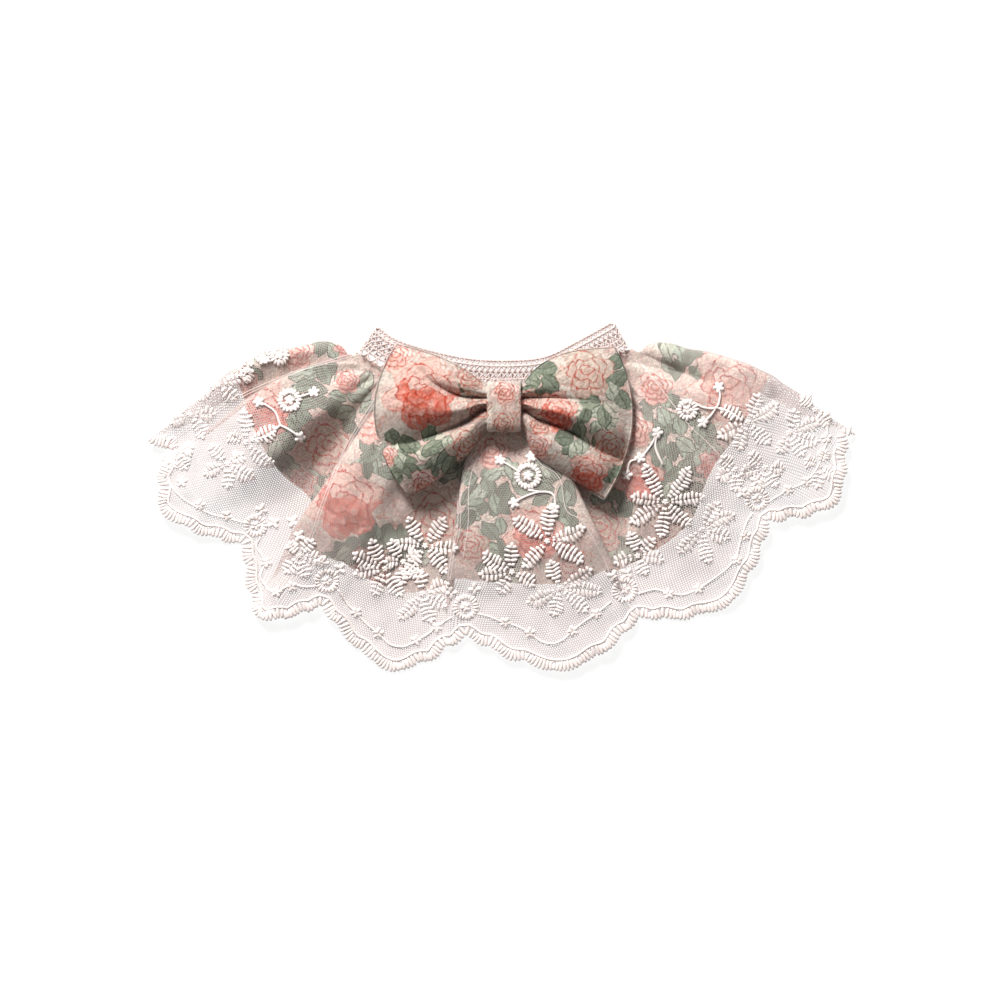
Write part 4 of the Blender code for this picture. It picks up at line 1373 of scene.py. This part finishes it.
def sew_ferns(stitches, dice):
    for centre, *tips in FERNS:
        start = np.array(on_plan(*centre))
        stitches.star(*start, *FERN_CENTRE, dice.uniform(0, 6))
        for tip in tips:
            end = np.array(on_plan(*tip))
            whole = np.linalg.norm(end - start)
            along = (end - start) / whole
            across = np.array([-along[1], along[0]])
            heading = math.atan2(along[1], along[0])
            curve = dice.uniform(-LEAF_CURVE, LEAF_CURVE) * whole
            count = max(4, round((whole - LEAF_START) / LEAF_PITCH))
            for n in range(count):
                share = (n + 0.5) / count
                spine = start + along * (LEAF_START + (whole - LEAF_START) * share)
                spine = spine + across * curve * math.sin(math.pi * share)
                low, high, power = LEAF_SWELL
                swell = math.sin(math.pi * (low + high * share)) ** power
                for side in (1, -1):
                    reach = LEAF_WIDE / 2 * swell * dice.uniform(*LEAF_UNEVEN)
                    angle = heading + side * LEAF_ANGLE + dice.uniform(-0.16, 0.16)
                    x, y = spine + 0.45 * reach * np.array([math.cos(angle), math.sin(angle)])
                    stitches.add(x, y, angle, reach, STITCH * dice.uniform(*STITCH_UNEVEN))
            stitches.add(*end, heading, *FERN_TIP)


def sew_rings(stitches, dice):
    for x, y, radius in RINGS:
        cx, cy = on_plan(x, y)
        radius = radius * GRID * RING_SHARE
        count = round(2 * math.pi * radius / RING_PITCH)
        for n in range(count):
            angle = 2 * math.pi * n / count
            px, py = cx + radius * math.cos(angle), cy + radius * math.sin(angle)
            long, wide = (dice.uniform(*sizes) for sizes in RING_BAR)
            stitches.add(px, py, angle + dice.uniform(-0.25, 0.25), long, wide)
        stitches.star(cx, cy, *RING_STAR, dice.uniform(0, 6))
    for places, flower in ((STARS, STAR), (TREFOILS, TREFOIL)):
        for place in places:
            stitches.star(*on_plan(*place), *flower, dice.uniform(0, 6))


def hem_curve(lace):
    """The hem's plan as evenly spaced points, without the rolled sides."""
    rolled = ROLL_STEPS + len(FLAP_SHARES)
    hem = lace[rolled : len(lace) - rolled, -1]
    run = run_along(hem)
    at = np.arange(0, run[-1], HEM_PITCH)
    return np.column_stack([np.interp(at, run, hem[:, k]) for k in range(2)])


def inward_of(plan):
    along = unit(np.gradient(plan, axis=0))
    return np.column_stack([-along[:, 1], along[:, 0]])


def smooth_path(path, reach):
    """A running mean over so many mm of a path with HEM_PITCH between its points."""
    half = max(1, round(reach / HEM_PITCH / 2))
    weights = np.hanning(2 * half + 3)[1:-1]
    weights /= weights.sum()
    padded = np.vstack([np.repeat(path[:1], half, 0), path, np.repeat(path[-1:], half, 0)])
    return np.column_stack([np.convolve(padded[:, k], weights, "valid") for k in range(2)])


def sew_hem(stitches, plan, inward, dice):
    for n, ((x, y), (ix, iy)) in enumerate(zip(plan, inward)):
        share = n / HEM_LOBE % 1.0
        belly = math.sin(math.pi * share) ** 0.7
        length = HEM_STITCH[0] + HEM_STITCH[1] * belly + dice.uniform(-0.4, 0.4)
        fan = 0.5 * (share - 0.5) * (share > 0)
        angle = math.atan2(iy, ix) + fan + dice.uniform(-0.12, 0.12)
        deep = 0.46 * length - 0.9 * belly
        stitches.add(x + ix * deep, y + iy * deep, angle, length, dice.uniform(*HEM_WIDTH))


def plan_path(line, density):
    """A smooth curve through places on the plan grid."""
    points = np.column_stack(on_plan(*np.array(line, float).T))
    return spline(points, np.linspace(0, len(points) - 1, density * len(points)))


def lay_cords(cloth, plan, inward):
    """A cord along the hem, the stems and the threads at the folds' edges."""
    inset, radius = HEM_CORD
    edge = (smooth_path(plan, 2.0) + inward * inset)[CORD_ENDS]
    parts = [tube_arrays(cloth.lay(edge, 0.3), radius)]
    for stem in STEMS + HEM_CORDS:
        parts.append(tube_arrays(cloth.lay(plan_path(stem, 10), 0.25), STEM_RADIUS))
    apart, radius = FOLD_THREAD
    for double, *line in FOLD_LINES:
        fine = plan_path(line, 24)
        side = inward_of(fine)
        for shift in (-apart, apart) if double else (0.0,):
            parts.append(tube_arrays(cloth.lay(fine + side * shift, 0.1), radius))
    return join_arrays(parts)


def embroider(lace, thread):
    cloth = Cloth(lace)
    dice = random.Random(7)
    ferns, rings, hem = (Stitches(cloth) for _ in range(3))
    sew_ferns(ferns, dice)
    sew_rings(rings, dice)
    plan = hem_curve(lace)
    inward = inward_of(smooth_path(plan, 3.0))
    sew_hem(hem, plan, inward, dice)
    points, faces = lay_cords(cloth, plan, inward)
    return [
        ferns.make("embroidered_ferns", thread),
        rings.make("embroidered_rings", thread),
        hem.make("embroidered_hem", thread),
        add_mesh("embroidered_cords", points, clean_faces(faces), thread),
    ]


def make_floor(material):
    mesh = bpy.data.meshes.new("studio_floor")
    corners = [(x, y, 0) for x, y in ((-1, -1), (1, -1), (1, 1), (-1, 1))]
    mesh.from_pydata((np.array(corners) * FLOOR_HALF).tolist(), [], [(0, 1, 2, 3)])
    mesh.materials.append(material)
    floor = bpy.data.objects.new("studio_floor", mesh)
    bpy.context.scene.collection.objects.link(floor)


def light_scene():
    """A soft lamp behind the collar, a pale sky, and the camera straight above."""
    scene = bpy.context.scene
    data = bpy.data.lights.new("key", "AREA")
    data.shape = "DISK"
    data.size = KEY_SIZE
    data.energy = KEY_WATTS
    data.color = KEY_COLOUR
    lamp = bpy.data.objects.new("key", data)
    lamp.location = KEY_PLACE
    lamp.rotation_euler = (-lamp.location).to_track_quat("-Z", "Y").to_euler()
    scene.collection.objects.link(lamp)
    world = bpy.data.worlds.new("studio")
    world.use_nodes = True
    background = world.node_tree.nodes["Background"]
    background.inputs["Color"].default_value = (*SKY_COLOUR, 1.0)
    background.inputs["Strength"].default_value = SKY_STRENGTH
    scene.world = world
    scene.view_settings.view_transform = "Standard"
    data = bpy.data.cameras.new("camera")
    data.lens = CAMERA_LENS
    data.sensor_width = 36.0
    camera = bpy.data.objects.new("camera", data)
    camera.location = CAMERA_PLACE
    scene.collection.objects.link(camera)
    scene.camera = camera


def main():
    ruffle_print = make_print(
        "printed cotton of the ruffle",
        RUFFLE_BLOOMS,
        RUFFLE_LEAVES,
        UNDER_NET_PAINTED_LIGHT,
        UNDER_NET_LEAF,
        UNDER_NET_PEN,
    )
    bow_print = make_print("printed cotton of the bow", BOW_BLOOMS, BOW_LEAVES, BOW_GAIN)
    net_material = make_net()
    thread = make_thread("embroidery thread", THREAD_COLOUR)
    crochet = make_thread("crochet cotton", CROCHET_SHADED_COLOUR)
    floral, net, lace = ruffle_sheets(ruffle_print, net_material)
    embroidery = embroider(lace, thread)
    band = make_neckband(crochet)
    loops = make_bow(bow_print)
    knot = make_knot(bow_print)
    make_floor(make_floor_material())
    light_scene()


main()
